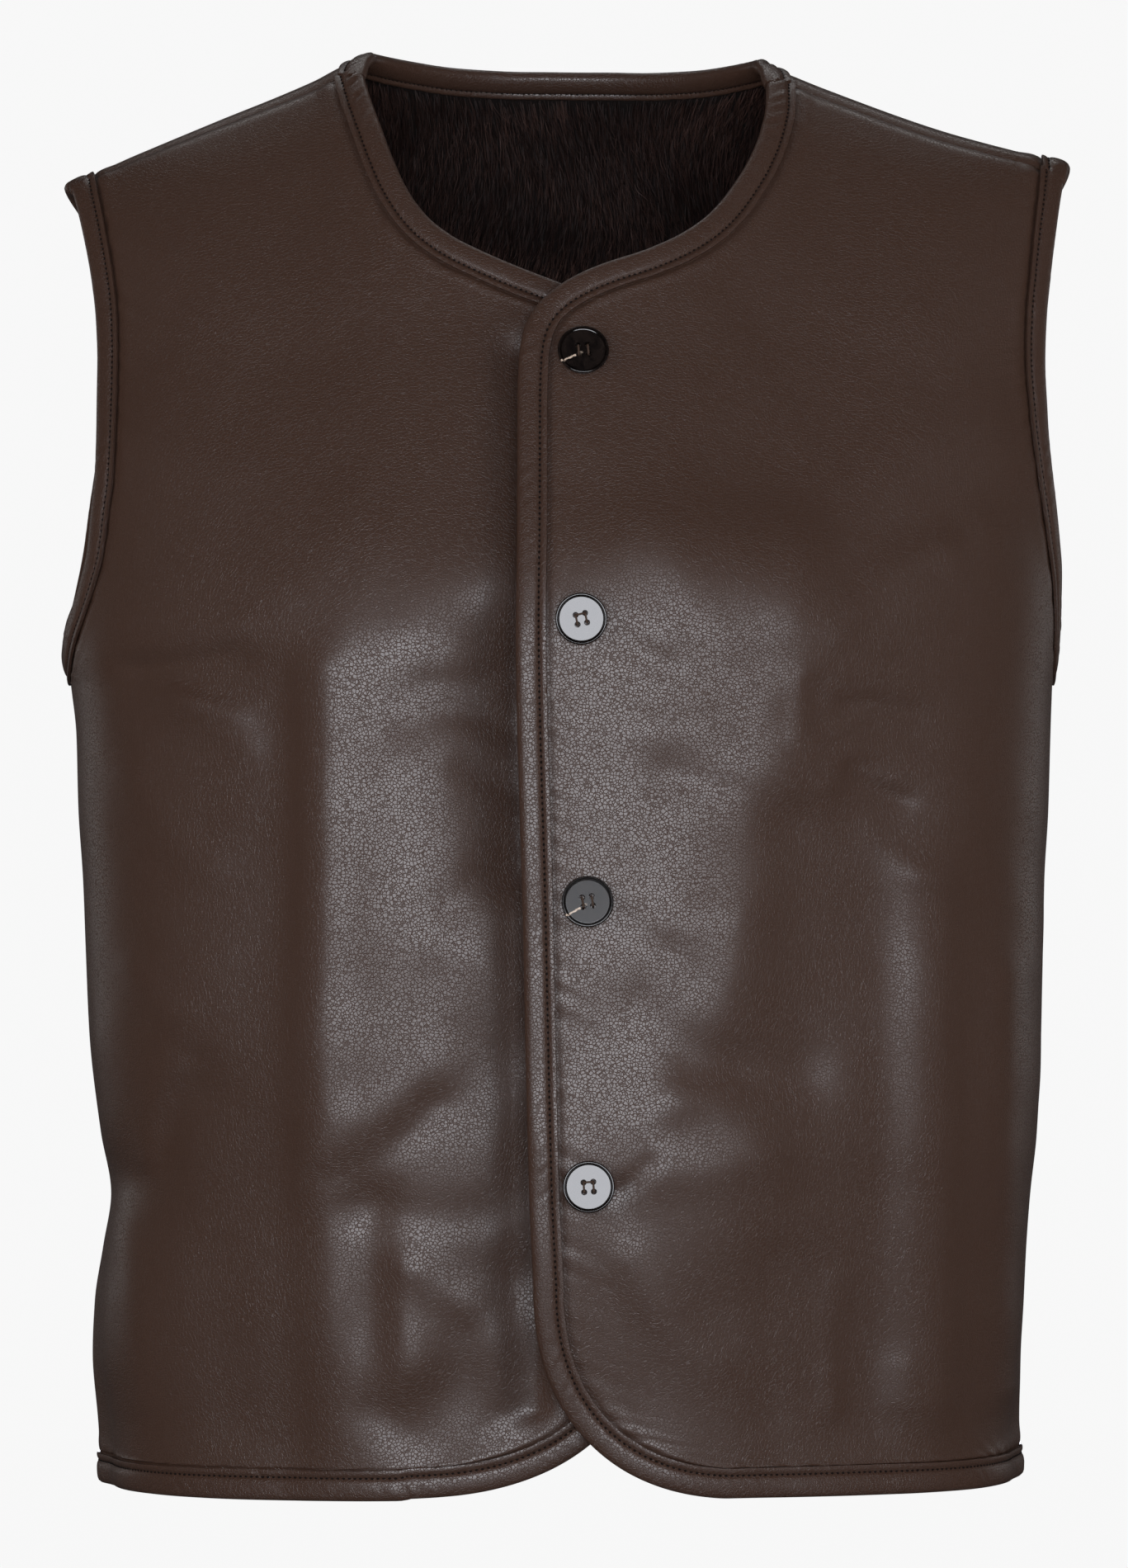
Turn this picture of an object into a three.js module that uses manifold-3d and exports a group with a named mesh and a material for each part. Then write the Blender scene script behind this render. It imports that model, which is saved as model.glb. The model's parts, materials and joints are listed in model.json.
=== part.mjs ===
// A collarless sleeveless jacket in double-faced cloth, grained outside and pile inside, bound
// round all its edges and filled out as worn. Millimetres, +Z up, the front faces -Y, and the
// wearer's left is +X. The origin is between the shoulders, at the height of their tips.
import * as THREE from 'three';
import { mergeVertices } from 'three/addons/utils/BufferGeometryUtils.js';
import Module from 'manifold-3d';

const wasm = await Module();
wasm.setup();

const DEG = Math.PI / 180;

// Thickness of the cloth with its pile, and where the binding presses the pile down
const CLOTH = 6.2;
const CLOTH_AT_EDGE = 2.6;
const PILE_RECOVERY = 9;
const SEAM_GAP = 0.3;

// Binding: a strip folded over the raw edges, seen 12 mm wide from outside
const BINDING_NOSE = 1.6;
const BINDING_LAP = 10.4;
const LEAF = 1.0;

// Heights
const ARMPIT_Z = -203;
const CORNER_TOP_Z = -438;

// Height of the hem's fold line round the body, by angle from centre front
const HEM_LINE = [
  { angle: -180, z: -498 },
  { angle: -135, z: -505 },
  { angle: -90, z: -514 },
  { angle: -60, z: -514.0 },
  { angle: 0, z: -512 },
  { angle: 60, z: -511.5 },
  { angle: 90, z: -511 },
  { angle: 135, z: -504 },
  { angle: 180, z: -498 },
];

// Rings from the hem to the armpit: half widths to the wearer's right and left, depths to the
// front and back, and how square each half of the ring is (2 is an ellipse)
const BODY_SECTIONS = [
  { z: -530, right: 187.5, left: 185.5, front: 123, back: 110, frontSquare: 2.7, backSquare: 2.5 },
  { z: -500, right: 189.0, left: 184.5, front: 123, back: 109, frontSquare: 2.7, backSquare: 2.5 },
  { z: -474, right: 191.0, left: 184.8, front: 123, back: 108, frontSquare: 2.7, backSquare: 2.5 },
  { z: -452, right: 190.0, left: 186.0, front: 123, back: 106, frontSquare: 2.7, backSquare: 2.5 },
  { z: -430, right: 186.5, left: 187.0, front: 123, back: 104, frontSquare: 2.7, backSquare: 2.4 },
  { z: -409, right: 183.3, left: 188.6, front: 123, back: 103, frontSquare: 2.7, backSquare: 2.4 },
  { z: -384, right: 187.4, left: 191.3, front: 124, back: 103, frontSquare: 2.7, backSquare: 2.4 },
  { z: -344, right: 192.0, left: 193.0, front: 125, back: 105, frontSquare: 2.7, backSquare: 2.4 },
  { z: -283, right: 194.5, left: 194.3, front: 126, back: 110, frontSquare: 2.6, backSquare: 2.4 },
  { z: -253, right: 196.5, left: 196.0, front: 126, back: 113, frontSquare: 2.6, backSquare: 2.4 },
  { z: -223, right: 197.3, left: 196.8, front: 126, back: 115, frontSquare: 2.5, backSquare: 2.4 },
  { z: -203, right: 199.5, left: 197.5, front: 125.5, back: 115, frontSquare: 2.5, backSquare: 2.4 },
];

// The same above the armpit, by the share of the rise from armpit to shoulder ridge
const CHEST_SECTIONS = [
  { rise: 0.0, right: 199.5, left: 197.5, front: 125.5, back: 115 },
  { rise: 0.04, right: 202.5, left: 199.0, front: 125, back: 116 },
  { rise: 0.08, right: 204.5, left: 201.0, front: 123, back: 117 },
  { rise: 0.2, right: 203.5, left: 204.0, front: 112, back: 120 },
  { rise: 0.38, right: 201.0, left: 205.0, front: 96, back: 121 },
  { rise: 0.7, right: 203.0, left: 207.0, front: 83, back: 112 },
  { rise: 1.0, right: 209.0, left: 212.0, front: 78, back: 100 },
];
const CHEST_FRONT_SQUARE = 2.5;
const CHEST_BACK_SQUARE = 2.4;

// How square the arch over the shoulder is, from front to back: an ellipse near the neck
const ARCH = { neckX: 95, neckSquare: 2.0, tipX: 190, tipSquare: 2.6 };

// Height of the shoulder ridge from side to side
const RIDGE = [
  { x: -215, z: -6.5 },
  { x: -185, z: 6.7 },
  { x: -142, z: 25.0 },
  { x: -101.7, z: 42.0 },
  { x: -88, z: 49.0 },
  { x: 0, z: 74.0 },
  { x: 84, z: 47.6 },
  { x: 106, z: 38.9 },
  { x: 150, z: 22.9 },
  { x: 172, z: 16.5 },
  { x: 192, z: 11.5 },
  { x: 204, z: 8.0 },
  { x: 215, z: 4.5 },
];

// Fold line of the front edge and neckline, seen from the front: x by height for each front
const FRONT_EDGE = [
  { z: -438.0, left: -0.2, right: 25.5 },
  { z: -400.0, left: -1.9, right: 25.0 },
  { z: -290.0, left: -4.4, right: 22.5 },
  { z: -180.0, left: -7.0, right: 21.5 },
  { z: -140.0, left: -6.6, right: 21.5 },
  { z: -90.0, left: -6.5, right: 21.5 },
  { z: -77.0, left: -6.1, right: 20.5 },
  { z: -67.0, left: -4.8, right: 16.0 },
  { z: -60.0, left: -1.6, right: 7.5 },
  { z: -55.0, left: 3.7, right: -3.0 },
  { z: -50.0, left: 12.2, right: -16.0 },
  { z: -45.5, left: 23.0, right: -27.0 },
  { z: -41.0, left: 36.5, right: -37.0 },
  { z: -34.0, left: 52.0, right: -50.5 },
  { z: -23.5, left: 66.5, right: -63.5 },
  { z: -10.0, left: 77.5, right: -73.3 },
  { z: 4.0, left: 85.6, right: -79.8 },
  { z: 17.0, left: 90.5, right: -84.6 },
  { z: 30.0, left: 93.0, right: -89.3 },
  { z: 48.0, left: 93.5, right: -94.5 },
];

// Lower front corners: a superellipse from the edge to the hem
const CORNER_RUN = { left: 75, right: 90 };
const CORNER_SQUARE = 2.4;

// Fold line of each armhole on the front, seen from the front: half width by height
const FRONT_ARMHOLE = [
  { z: -203.0, right: 199.5, left: 197.5 },
  { z: -199.0, right: 198.6, left: 197.4 },
  { z: -188.6, right: 196.0, left: 197.2 },
  { z: -176.6, right: 191.5, left: 197.4 },
  { z: -163.0, right: 187.0, left: 196.4 },
  { z: -151.0, right: 183.5, left: 194.2 },
  { z: -134.5, right: 181.0, left: 191.5 },
  { z: -117.6, right: 178.8, left: 189.0 },
  { z: -94.7, right: 178.2, left: 186.3 },
  { z: -73.3, right: 178.2, left: 184.8 },
  { z: -53.1, right: 179.1, left: 185.3 },
  { z: -36.2, right: 181.1, left: 187.0 },
  { z: -17.2, right: 184.7, left: 189.2 },
  { z: 2.0, right: 189.3, left: 191.9 },
  { z: 12.0, right: 191.5, left: 193.0 },
];

// The same on the back, seen from the side: the upper and lower halves of an egg
const BACK_ARMHOLE = {
  right: { reach: 58, widestZ: -100, topZ: 3.5, upperSquare: 2.0, lowerSquare: 2.1 },
  left: { reach: 56, widestZ: -100, topZ: 11.0, upperSquare: 2.0, lowerSquare: 2.1 },
};

// Shoulder seams lie forward of the ridge: the angle up the front at the neck and at the tip
const SHOULDER_SEAM = {
  right: { neck: 79, tip: 82 },
  left: { neck: 79, tip: 76 },
};

// Back neckline: how high its fold line reaches at centre back
const BACK_NECK_ANGLE = 61.7;

// The left front laps over the right one: how far each is moved, and over what stretch
const LAP = {
  left: { move: -4.0, fullX: 36, endX: 90 },
  right: { move: 5.4, fullX: -20, endX: -80 },
};

// The largest soft folds: a trough has a negative depth and a ridge a positive one. Ends are
// places on the front or back with x to the wearer's left.
const FOLDS = [
  { panel: 'right', x0: -106, z0: -235, x1: -103, z1: -495, width: 20, depth: -3.6 },
  { panel: 'right', x0: -150, z0: -330, x1: -155, z1: -300, width: 20, depth: 2.0 },
  { panel: 'right', x0: -168, z0: -199, x1: -130, z1: -196, width: 10, depth: -2.4 },
  { panel: 'right', x0: -150, z0: -210, x1: -128, z1: -226, width: 9, depth: 2.0 },
  { panel: 'right', x0: -60, z0: -216, x1: -24, z1: -212, width: 12, depth: -2.2 },
  { panel: 'right', x0: -30, z0: -352, x1: -70, z1: -404, width: 15, depth: -2.4 },
  { panel: 'right', x0: -26, z0: -440, x1: -62, z1: -494, width: 15, depth: -2.4 },
  { panel: 'right', x0: -172, z0: -396, x1: -146, z1: -366, width: 14, depth: -2.6 },
  { panel: 'left', x0: 90, z0: -262, x1: 98, z1: -400, width: 15, depth: -3.4 },
  { panel: 'left', x0: 122, z0: -270, x1: 124, z1: -470, width: 14, depth: 2.6 },
  { panel: 'left', x0: 112, z0: -186, x1: 165, z1: -146, width: 12, depth: 2.2 },
  { panel: 'left', x0: 110, z0: -216, x1: 138, z1: -222, width: 10, depth: -2.4 },
  { panel: 'left', x0: 52, z0: -400, x1: 72, z1: -390, width: 13, depth: -2.4 },
  { panel: 'left', x0: 62, z0: -450, x1: 92, z1: -436, width: 18, depth: -2.8 },
  { panel: 'back', x0: 0, z0: -120, x1: 0, z1: -470, width: 30, depth: -3.0 },
  { panel: 'back', x0: -95, z0: -210, x1: -88, z1: -480, width: 20, depth: 3.0 },
  { panel: 'back', x0: 92, z0: -220, x1: 96, z1: -480, width: 20, depth: 3.0 },
  { panel: 'back', x0: -150, z0: -190, x1: -120, z1: -250, width: 14, depth: -2.6 },
  { panel: 'back', x0: 152, z0: -186, x1: 122, z1: -246, width: 14, depth: -2.6 },
];

// Buttons on the left front, by place and turn
const BUTTON_RADIUS = 10.15;
const BUTTON_RIM = 1.25;
const BUTTON_HEIGHT = 3.4;
const BUTTON_PLATE_HEIGHT = 2.6;
const BUTTON_HOLE_RADIUS = 1.15;
const BUTTON_HOLE_SPACING = 3.4;
const BUTTON_CLEARANCE = 0.5;
const BUTTONS = [
  { name: 'button_1', x: 7.5, z: -72.7, turn: 4 },
  { name: 'button_2', x: 6.8, z: -178.4, turn: 12 },
  { name: 'button_3', x: 9.2, z: -289.4, turn: 8 },
  { name: 'button_4', x: 9.7, z: -400.4, turn: 4 },
];

// How finely the walls are cut
const FRONT_COLUMNS = 13;
const CORNER_ROWS = 7;
const BODY_ROWS = 8;
const BACK_NECK_COLUMNS = 6;
const BACK_SHOULDER_COLUMNS = (FRONT_COLUMNS + 1) / 2;
const FIRST_COLUMN = 8;

// Shares of the way from armpit to shoulder seam of the chest's rows, closest together where
// the armhole and the neckline turn
const CHEST_SHARES = [0.01, 0.035, 0.085, 0.15, 0.22, 0.29, 0.335, 0.375, 0.415, 0.46, 0.52, 0.6, 0.69, 0.79, 0.89, 1];
const CHEST_ROWS = CHEST_SHARES.length;

// Smooth curve through a table's rows, with no overshoot
function readTable(table, key, column, at) {
  const last = table.length - 1;
  if (at <= table[0][key]) return table[0][column];
  if (at >= table[last][key]) return table[last][column];
  let k = 0;
  while (table[k + 1][key] < at) k += 1;
  const slope = (i) => (table[i + 1][column] - table[i][column]) / (table[i + 1][key] - table[i][key]);
  const tangent = (i) => {
    if (i === 0) return slope(0);
    if (i === last) return slope(last - 1);
    const product = slope(i - 1) * slope(i);
    return product <= 0 ? 0 : (2 * product) / (slope(i - 1) + slope(i));
  };
  const run = table[k + 1][key] - table[k][key];
  const t = (at - table[k][key]) / run;
  const t2 = t * t;
  const t3 = t2 * t;
  return (2 * t3 - 3 * t2 + 1) * table[k][column]
    + (t3 - 2 * t2 + t) * run * tangent(k)
    + (3 * t2 - 2 * t3) * table[k + 1][column]
    + (t3 - t2) * run * tangent(k + 1);
}

const mix = (a, b, t) => a + (b - a) * t;

function smoothStep(t) {
  const c = Math.min(1, Math.max(0, t));
  return c * c * (3 - 2 * c);
}

// The value between two others where a function crosses zero
function findZero(f, start, end) {
  let a = start;
  let b = end;
  const startsNegative = f(a) < 0;
  for (let i = 0; i < 44; i += 1) {
    const middle = (a + b) / 2;
    if ((f(middle) < 0) === startsNegative) a = middle;
    else b = middle;
  }
  return (a + b) / 2;
}

// A ring's half width, depth and squareness to one side and to the front or back
function ringShape(z, rise, side, isFront) {
  const depthColumn = isFront ? 'front' : 'back';
  if (rise > 0) {
    return {
      half: readTable(CHEST_SECTIONS, 'rise', side, rise),
      depth: readTable(CHEST_SECTIONS, 'rise', depthColumn, rise),
      square: isFront ? CHEST_FRONT_SQUARE : CHEST_BACK_SQUARE,
    };
  }
  return {
    half: readTable(BODY_SECTIONS, 'z', side, z),
    depth: readTable(BODY_SECTIONS, 'z', depthColumn, z),
    square: readTable(BODY_SECTIONS, 'z', `${depthColumn}Square`, z),
  };
}

// The form under the cloth. Angle runs in degrees round from centre front, to the wearer's left.
// Level is 0 at the hem's fold line, 1 at the armpit and 2 on the shoulder ridge; past 2 it runs
// over the ridge and down the other side.
function formPoint(angle, level) {
  const sine = Math.sin(angle * DEG);
  const cosine = Math.cos(angle * DEG);
  const isFront = cosine >= 0;
  const side = sine < 0 ? 'right' : 'left';
  const hemZ = readTable(HEM_LINE, 'angle', 'z', angle > 180 ? angle - 360 : angle);
  const ringZ = mix(hemZ, ARMPIT_Z, Math.min(level, 1));
  const rise = Math.min(Math.max(level - 1, 0), 1);
  const { half, depth, square } = ringShape(ringZ, rise, side, isFront);
  const radius = ((Math.abs(cosine) / depth) ** square + (Math.abs(sine) / half) ** square) ** (-1 / square);
  const x = radius * sine;
  if (level <= 1) return new THREE.Vector3(x, -radius * cosine, ringZ);
  const climb = (level - 1) * 90 * DEG;
  const toTip = smoothStep((Math.abs(x) - ARCH.neckX) / (ARCH.tipX - ARCH.neckX));
  const power = 2 / mix(ARCH.neckSquare, ARCH.tipSquare, toTip * smoothStep(rise * 4));
  const z = mix(ARMPIT_Z, readTable(RIDGE, 'x', 'z', x), Math.sin(climb) ** power);
  const across = Math.abs(Math.cos(climb)) ** power;
  if (level <= 2) return new THREE.Vector3(x, -radius * cosine * across, z);
  const other = ringShape(ringZ, 3 - level, side, !isFront);
  const reach = other.depth * (1 - (Math.abs(x) / other.half) ** other.square) ** (1 / other.square);
  return new THREE.Vector3(x, (isFront ? 1 : -1) * reach * across, z);
}

// How the surface runs at a place, per degree of angle and per level
function slopesOf(surface, angle, level) {
  const stepAngle = 0.05;
  const stepLevel = 0.0004;
  return {
    round: surface(angle + stepAngle, level).sub(surface(angle - stepAngle, level))
      .divideScalar(2 * stepAngle),
    up: surface(angle, level + stepLevel).sub(surface(angle, level - stepLevel))
      .divideScalar(2 * stepLevel),
  };
}

function normalOf(surface, angle, level) {
  const { round, up } = slopesOf(surface, angle, level);
  return round.cross(up).normalize();
}

// How far the folds move a panel's point out, with none at the side seams and shoulder ridge
function foldHeight(panel, point) {
  let height = 0;
  for (const fold of FOLDS) {
    if (fold.panel !== panel) continue;
    const runX = fold.x1 - fold.x0;
    const runZ = fold.z1 - fold.z0;
    const along = ((point.x - fold.x0) * runX + (point.z - fold.z0) * runZ) / (runX ** 2 + runZ ** 2);
    const t = Math.min(1, Math.max(0, along));
    const away = Math.hypot(point.x - fold.x0 - t * runX, point.z - fold.z0 - t * runZ);
    height += fold.depth * Math.exp(-((away / fold.width) ** 2));
  }
  return height * smoothStep(Math.abs(point.y) / 30);
}

// A panel's outer face: the form, its folds and the lap of the fronts
function clothSurface(panel) {
  return (angle, level) => {
    const point = formPoint(angle, level);
    const height = foldHeight(panel, point);
    if (Math.abs(height) > 1e-3) point.addScaledVector(normalOf(formPoint, angle, level), height);
    const lap = LAP[panel];
    if (lap) point.y += lap.move * smoothStep((point.x - lap.endX) / (lap.fullX - lap.endX));
    return point;
  };
}

// x of a front's inner fold line at a height
function innerEdge(panel, z) {
  if (z >= CORNER_TOP_Z) return readTable(FRONT_EDGE, 'z', panel, z);
  const hemZ = readTable(HEM_LINE, 'angle', 'z', 0);
  const drop = Math.min(1, (CORNER_TOP_Z - z) / (CORNER_TOP_Z - hemZ));
  const inward = 1 - (1 - drop ** CORNER_SQUARE) ** (1 / CORNER_SQUARE);
  const toSide = panel === 'left' ? 1 : -1;
  return FRONT_EDGE[0][panel] + toSide * CORNER_RUN[panel] * inward;
}

// Positive where a point of the front or back is clear of the armhole
function clearOfArmhole(side, isFront, point) {
  if (isFront) return readTable(FRONT_ARMHOLE, 'z', side, point.z) - Math.abs(point.x);
  const egg = BACK_ARMHOLE[side];
  const isUpper = point.z > egg.widestZ;
  const height = isUpper ? egg.topZ - egg.widestZ : egg.widestZ - ARMPIT_Z;
  const square = isUpper ? egg.upperSquare : egg.lowerSquare;
  const across = (Math.max(0, point.y) / egg.reach) ** square;
  return across + (Math.abs(point.z - egg.widestZ) / height) ** square - 1;
}

// Angle of a panel's outer edge at a level: the side seam, and the armhole above the armpit
function outerAngle(side, isFront, level) {
  const toSide = side === 'left' ? 1 : -1;
  const seamStep = (SEAM_GAP / 2 / 3.3) * (isFront ? -1 : 1);
  if (level <= 1) return toSide * (90 + seamStep);
  const clear = (angle) => clearOfArmhole(side, isFront, formPoint(toSide * angle, level));
  return toSide * findZero(clear, isFront ? 20 : 160, 90);
}

// Angle of a front's inner edge at a level
function innerAngle(panel, level) {
  const toSide = panel === 'left' ? 1 : -1;
  return findZero((angle) => {
    const point = formPoint(angle, level);
    return toSide * (point.x - innerEdge(panel, point.z));
  }, -60 * toSide, 89.9 * toSide);
}

// Levels of the rows from hem to armpit, close together where the corner turns
function bodyLevels() {
  const hemZ = readTable(HEM_LINE, 'angle', 'z', 0);
  const cornerShare = (CORNER_TOP_Z - hemZ) / (ARMPIT_Z - hemZ);
  const levels = [];
  for (let i = 0; i < CORNER_ROWS; i += 1) {
    const turn = 90 * (1 - i / CORNER_ROWS) * DEG;
    levels.push(cornerShare * (1 - Math.sin(turn) ** (2 / CORNER_SQUARE)));
  }
  for (let i = 0; i <= BODY_ROWS; i += 1) levels.push(mix(cornerShare, 1, i / BODY_ROWS));
  return levels;
}

// The shoulder seam's two ends on a side, as angles along the ridge
const seamEnds = {};
for (const side of ['right', 'left']) {
  const seam = SHOULDER_SEAM[side];
  seamEnds[side] = {
    neck: Math.abs(formPoint(innerAngle(side, 1 + seam.neck / 90), 2).x),
    tip: Math.abs(formPoint(outerAngle(side, true, 1 + seam.tip / 90), 2).x),
  };
}

// Half of the seam's gap as a level, which covers 120 mm there
const SHOULDER_STEP = SEAM_GAP / 2 / 120;

// How far up the front, as a level, the shoulder seam lies at a distance from the centre plane
function seamLevel(side, x) {
  const { neck, tip } = seamEnds[side];
  const share = Math.min(1, Math.max(0, (x - neck) / (tip - neck)));
  return 1 + mix(SHOULDER_SEAM[side].neck, SHOULDER_SEAM[side].tip, share) / 90;
}

const armpitRow = bodyLevels().length - 1;
const topRow = armpitRow + CHEST_ROWS;

const gridVertex = (surface, angle, level) => ({
  angle,
  level,
  point: surface(angle, level),
  normal: normalOf(surface, angle, level),
});

// Grid of a front, a row for each level, from the inner edge to the outer one
function frontGrid(panel) {
  const surface = clothSurface(panel);
  const { neck, tip } = SHOULDER_SEAM[panel];
  const rows = bodyLevels().map((level) => ({ level, share: -1 }));
  rows.push(...CHEST_SHARES.map((share) => ({ share })));
  return rows.map(({ level, share }) => {
    const innerLevel = share < 0 ? level : mix(1, 1 + neck / 90, share);
    const outerLevel = share < 0 ? level : mix(1, 1 + tip / 90, share);
    const inner = innerAngle(panel, innerLevel);
    const outer = outerAngle(panel, true, outerLevel);
    const first = (FIRST_COLUMN / slopesOf(formPoint, inner, innerLevel).round.length())
      * Math.sign(outer - inner);
    const row = [];
    for (let i = 0; i <= FRONT_COLUMNS; i += 1) {
      const angle = i === 0 ? inner : mix(inner + first, outer, (i - 1) / (FRONT_COLUMNS - 1));
      const top = seamLevel(panel, Math.abs(formPoint(angle, 2).x)) - SHOULDER_STEP;
      row.push(gridVertex(surface, angle, share < 0 ? level : mix(1, top, share)));
    }
    return row;
  });
}

// Places of the back's columns on one side: x at the ridge, and the turn of the neckline
function backColumns(side) {
  const { neck } = seamEnds[side];
  const places = [];
  for (let i = 0; i <= BACK_NECK_COLUMNS; i += 1) {
    const turn = i / BACK_NECK_COLUMNS;
    places.push({ x: neck * Math.sin(90 * turn * DEG), turn });
  }
  const seamRow = frontGrid(side)[topRow];
  for (let i = 1; i < seamRow.length; i += 2) {
    places.push({ x: Math.abs(formPoint(seamRow[i].angle, 2).x), turn: 1 });
  }
  return places;
}

// Grid of the back, a row for each step up its columns, from the wearer's right to the left
function backGrid() {
  const surface = clothSurface('back');
  const levels = bodyLevels();
  const columns = [];
  for (const side of ['left', 'right']) {
    const toSide = side === 'left' ? 1 : -1;
    const neckLevel = 1 + BACK_NECK_ANGLE / 90;
    const ridgeAngle = (x) => findZero((angle) => Math.abs(formPoint(toSide * angle, 2).x) - x, 180, 90.1);
    const tipAngle = ridgeAngle(seamEnds[side].tip);
    const made = backColumns(side).map(({ x, turn }) => {
      const share = x === 0 ? 0 : (180 - ridgeAngle(x)) / (180 - tipAngle);
      const topLevel = mix(neckLevel, 4 - seamLevel(side, x) - SHOULDER_STEP, 1 - Math.cos(90 * turn * DEG));
      const column = [];
      for (let j = 0; j < levels.length + CHEST_ROWS; j += 1) {
        const isBody = j < levels.length;
        const level = isBody ? levels[j] : mix(1, topLevel, CHEST_SHARES[j - levels.length]);
        const outer = level < 2 ? Math.abs(outerAngle(side, false, level)) : tipAngle;
        column.push(gridVertex(surface, toSide * (180 - share * (180 - outer)), level));
      }
      return column;
    });
    if (side === 'left') columns.push(...made.reverse());
    else columns.push(...made.slice(1));
  }
  return columns[0].map((_, j) => columns.map((column) => column[j]));
}

// Walks from a vertex along the surface in a direction, by the width the binding laps over
function walkOut(vertex, out, surface) {
  const steps = 4;
  let { angle, level, point } = vertex;
  let heading = out;
  for (let i = 0; i < steps; i += 1) {
    const { round, up } = slopesOf(surface, angle, level);
    const a = round.dot(round);
    const b = round.dot(up);
    const c = up.dot(up);
    const wantRound = heading.dot(round);
    const wantUp = heading.dot(up);
    const step = BINDING_LAP / steps / (a * c - b * b);
    angle += (c * wantRound - b * wantUp) * step;
    level += (a * wantUp - b * wantRound) * step;
    const next = surface(angle, level);
    heading = next.clone().sub(point).normalize();
    point = next;
  }
  return { point, normal: normalOf(surface, angle, level) };
}

// Frames of a bound edge along a path of grid vertices. The path runs with the cloth on its left
// as seen from outside; before and after are the neighbours past its ends.
function boundFrames(path, surface, before, after) {
  return path.map((vertex, i) => {
    const previous = i > 0 ? path[i - 1] : before;
    const next = i + 1 < path.length ? path[i + 1] : after;
    const along = next.point.clone().sub(previous.point).normalize();
    const out = along.cross(vertex.normal).normalize();
    const edge = walkOut(vertex, out, surface);
    return { vertex, point: vertex.point, normal: vertex.normal, edge: edge.point, edgeNormal: edge.normal };
  });
}

function solidGeometry(positions, indices) {
  const geometry = new THREE.BufferGeometry();
  geometry.setAttribute('position', new THREE.BufferAttribute(new Float32Array(positions), 3));
  geometry.setIndex(indices);
  return geometry;
}

const quad = (a, b, c, d) => [[a, b, c], [a, c, d]];

// The same four corners cut along the shorter diagonal
function shortQuad(vertices, a, b, c, d) {
  const isShort = vertices[a].point.distanceTo(vertices[c].point)
    <= vertices[b].point.distanceTo(vertices[d].point);
  return isShort ? quad(a, b, c, d) : quad(b, c, d, a);
}

// Distance from a point to the nearest bound fold line
function distanceToBound(point, frameSets) {
  let nearest = Infinity;
  const segment = new THREE.Line3();
  const foot = new THREE.Vector3();
  for (const frames of frameSets) {
    for (let i = 0; i + 1 < frames.length; i += 1) {
      segment.set(frames[i].point, frames[i + 1].point).closestPointToPoint(point, true, foot);
      nearest = Math.min(nearest, foot.distanceTo(point));
    }
  }
  return nearest;
}

// A panel as a closed wall: its grid, and the strips of cloth that its bindings cover
function panelSolid(grid, frameSets) {
  const columns = grid[0].length;
  const vertices = grid.flat();
  const faces = [];
  for (let j = 0; j + 1 < grid.length; j += 1) {
    for (let i = 0; i + 1 < columns; i += 1) {
      const corner = j * columns + i;
      faces.push(...shortQuad(vertices, corner, corner + 1, corner + 1 + columns, corner + columns));
    }
  }
  const places = new Map(vertices.map((vertex, i) => [vertex, i]));
  for (const frames of frameSets) {
    const start = vertices.length;
    frames.forEach(({ edge, edgeNormal }) => vertices.push({ point: edge, normal: edgeNormal }));
    for (let i = 0; i + 1 < frames.length; i += 1) {
      const a = places.get(frames[i].vertex);
      const b = places.get(frames[i + 1].vertex);
      faces.push(...quad(a, start + i, start + i + 1, b));
    }
  }
  const inner = vertices.map(({ point, normal }, i) => {
    const away = i < grid.length * columns ? distanceToBound(point, frameSets) : 0;
    const thickness = mix(CLOTH_AT_EDGE, CLOTH, smoothStep(away / PILE_RECOVERY));
    return point.clone().addScaledVector(normal, -thickness);
  });
  const count = vertices.length;
  const positions = [...vertices.map(({ point }) => point), ...inner].flatMap((point) => point.toArray());
  const indices = [];
  const rim = new Map();
  for (const [a, b, c] of faces) {
    indices.push(a, b, c, a + count, c + count, b + count);
    for (const [from, to] of [[a, b], [b, c], [c, a]]) {
      if (!rim.delete(`${to} ${from}`)) rim.set(`${from} ${to}`, [from, to]);
    }
  }
  for (const [from, to] of rim.values()) {
    indices.push(to, from, from + count, to, from + count, to + count);
  }
  return solidGeometry(positions, indices);
}

// Outline of the binding across the edge: how far in from the raw edge, and how far out from
// the cloth's outer face
const INNER_FACE = -CLOTH_AT_EDGE - SEAM_GAP;
const BINDING_SECTION = [
  { inward: BINDING_LAP, height: SEAM_GAP },
  { inward: BINDING_LAP, height: SEAM_GAP + LEAF },
  { inward: 5.0, height: SEAM_GAP + LEAF + 0.5 },
  { inward: 0.4, height: SEAM_GAP + LEAF + 0.2 },
  { inward: -BINDING_NOSE, height: -0.2 },
  { inward: -BINDING_NOSE, height: -2.4 },
  { inward: 0.4, height: INNER_FACE - LEAF - 0.2 },
  { inward: 5.0, height: INNER_FACE - LEAF - 0.5 },
  { inward: BINDING_LAP, height: INNER_FACE - LEAF },
  { inward: BINDING_LAP, height: INNER_FACE },
  { inward: -SEAM_GAP, height: INNER_FACE },
  { inward: -SEAM_GAP, height: SEAM_GAP },
];

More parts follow.
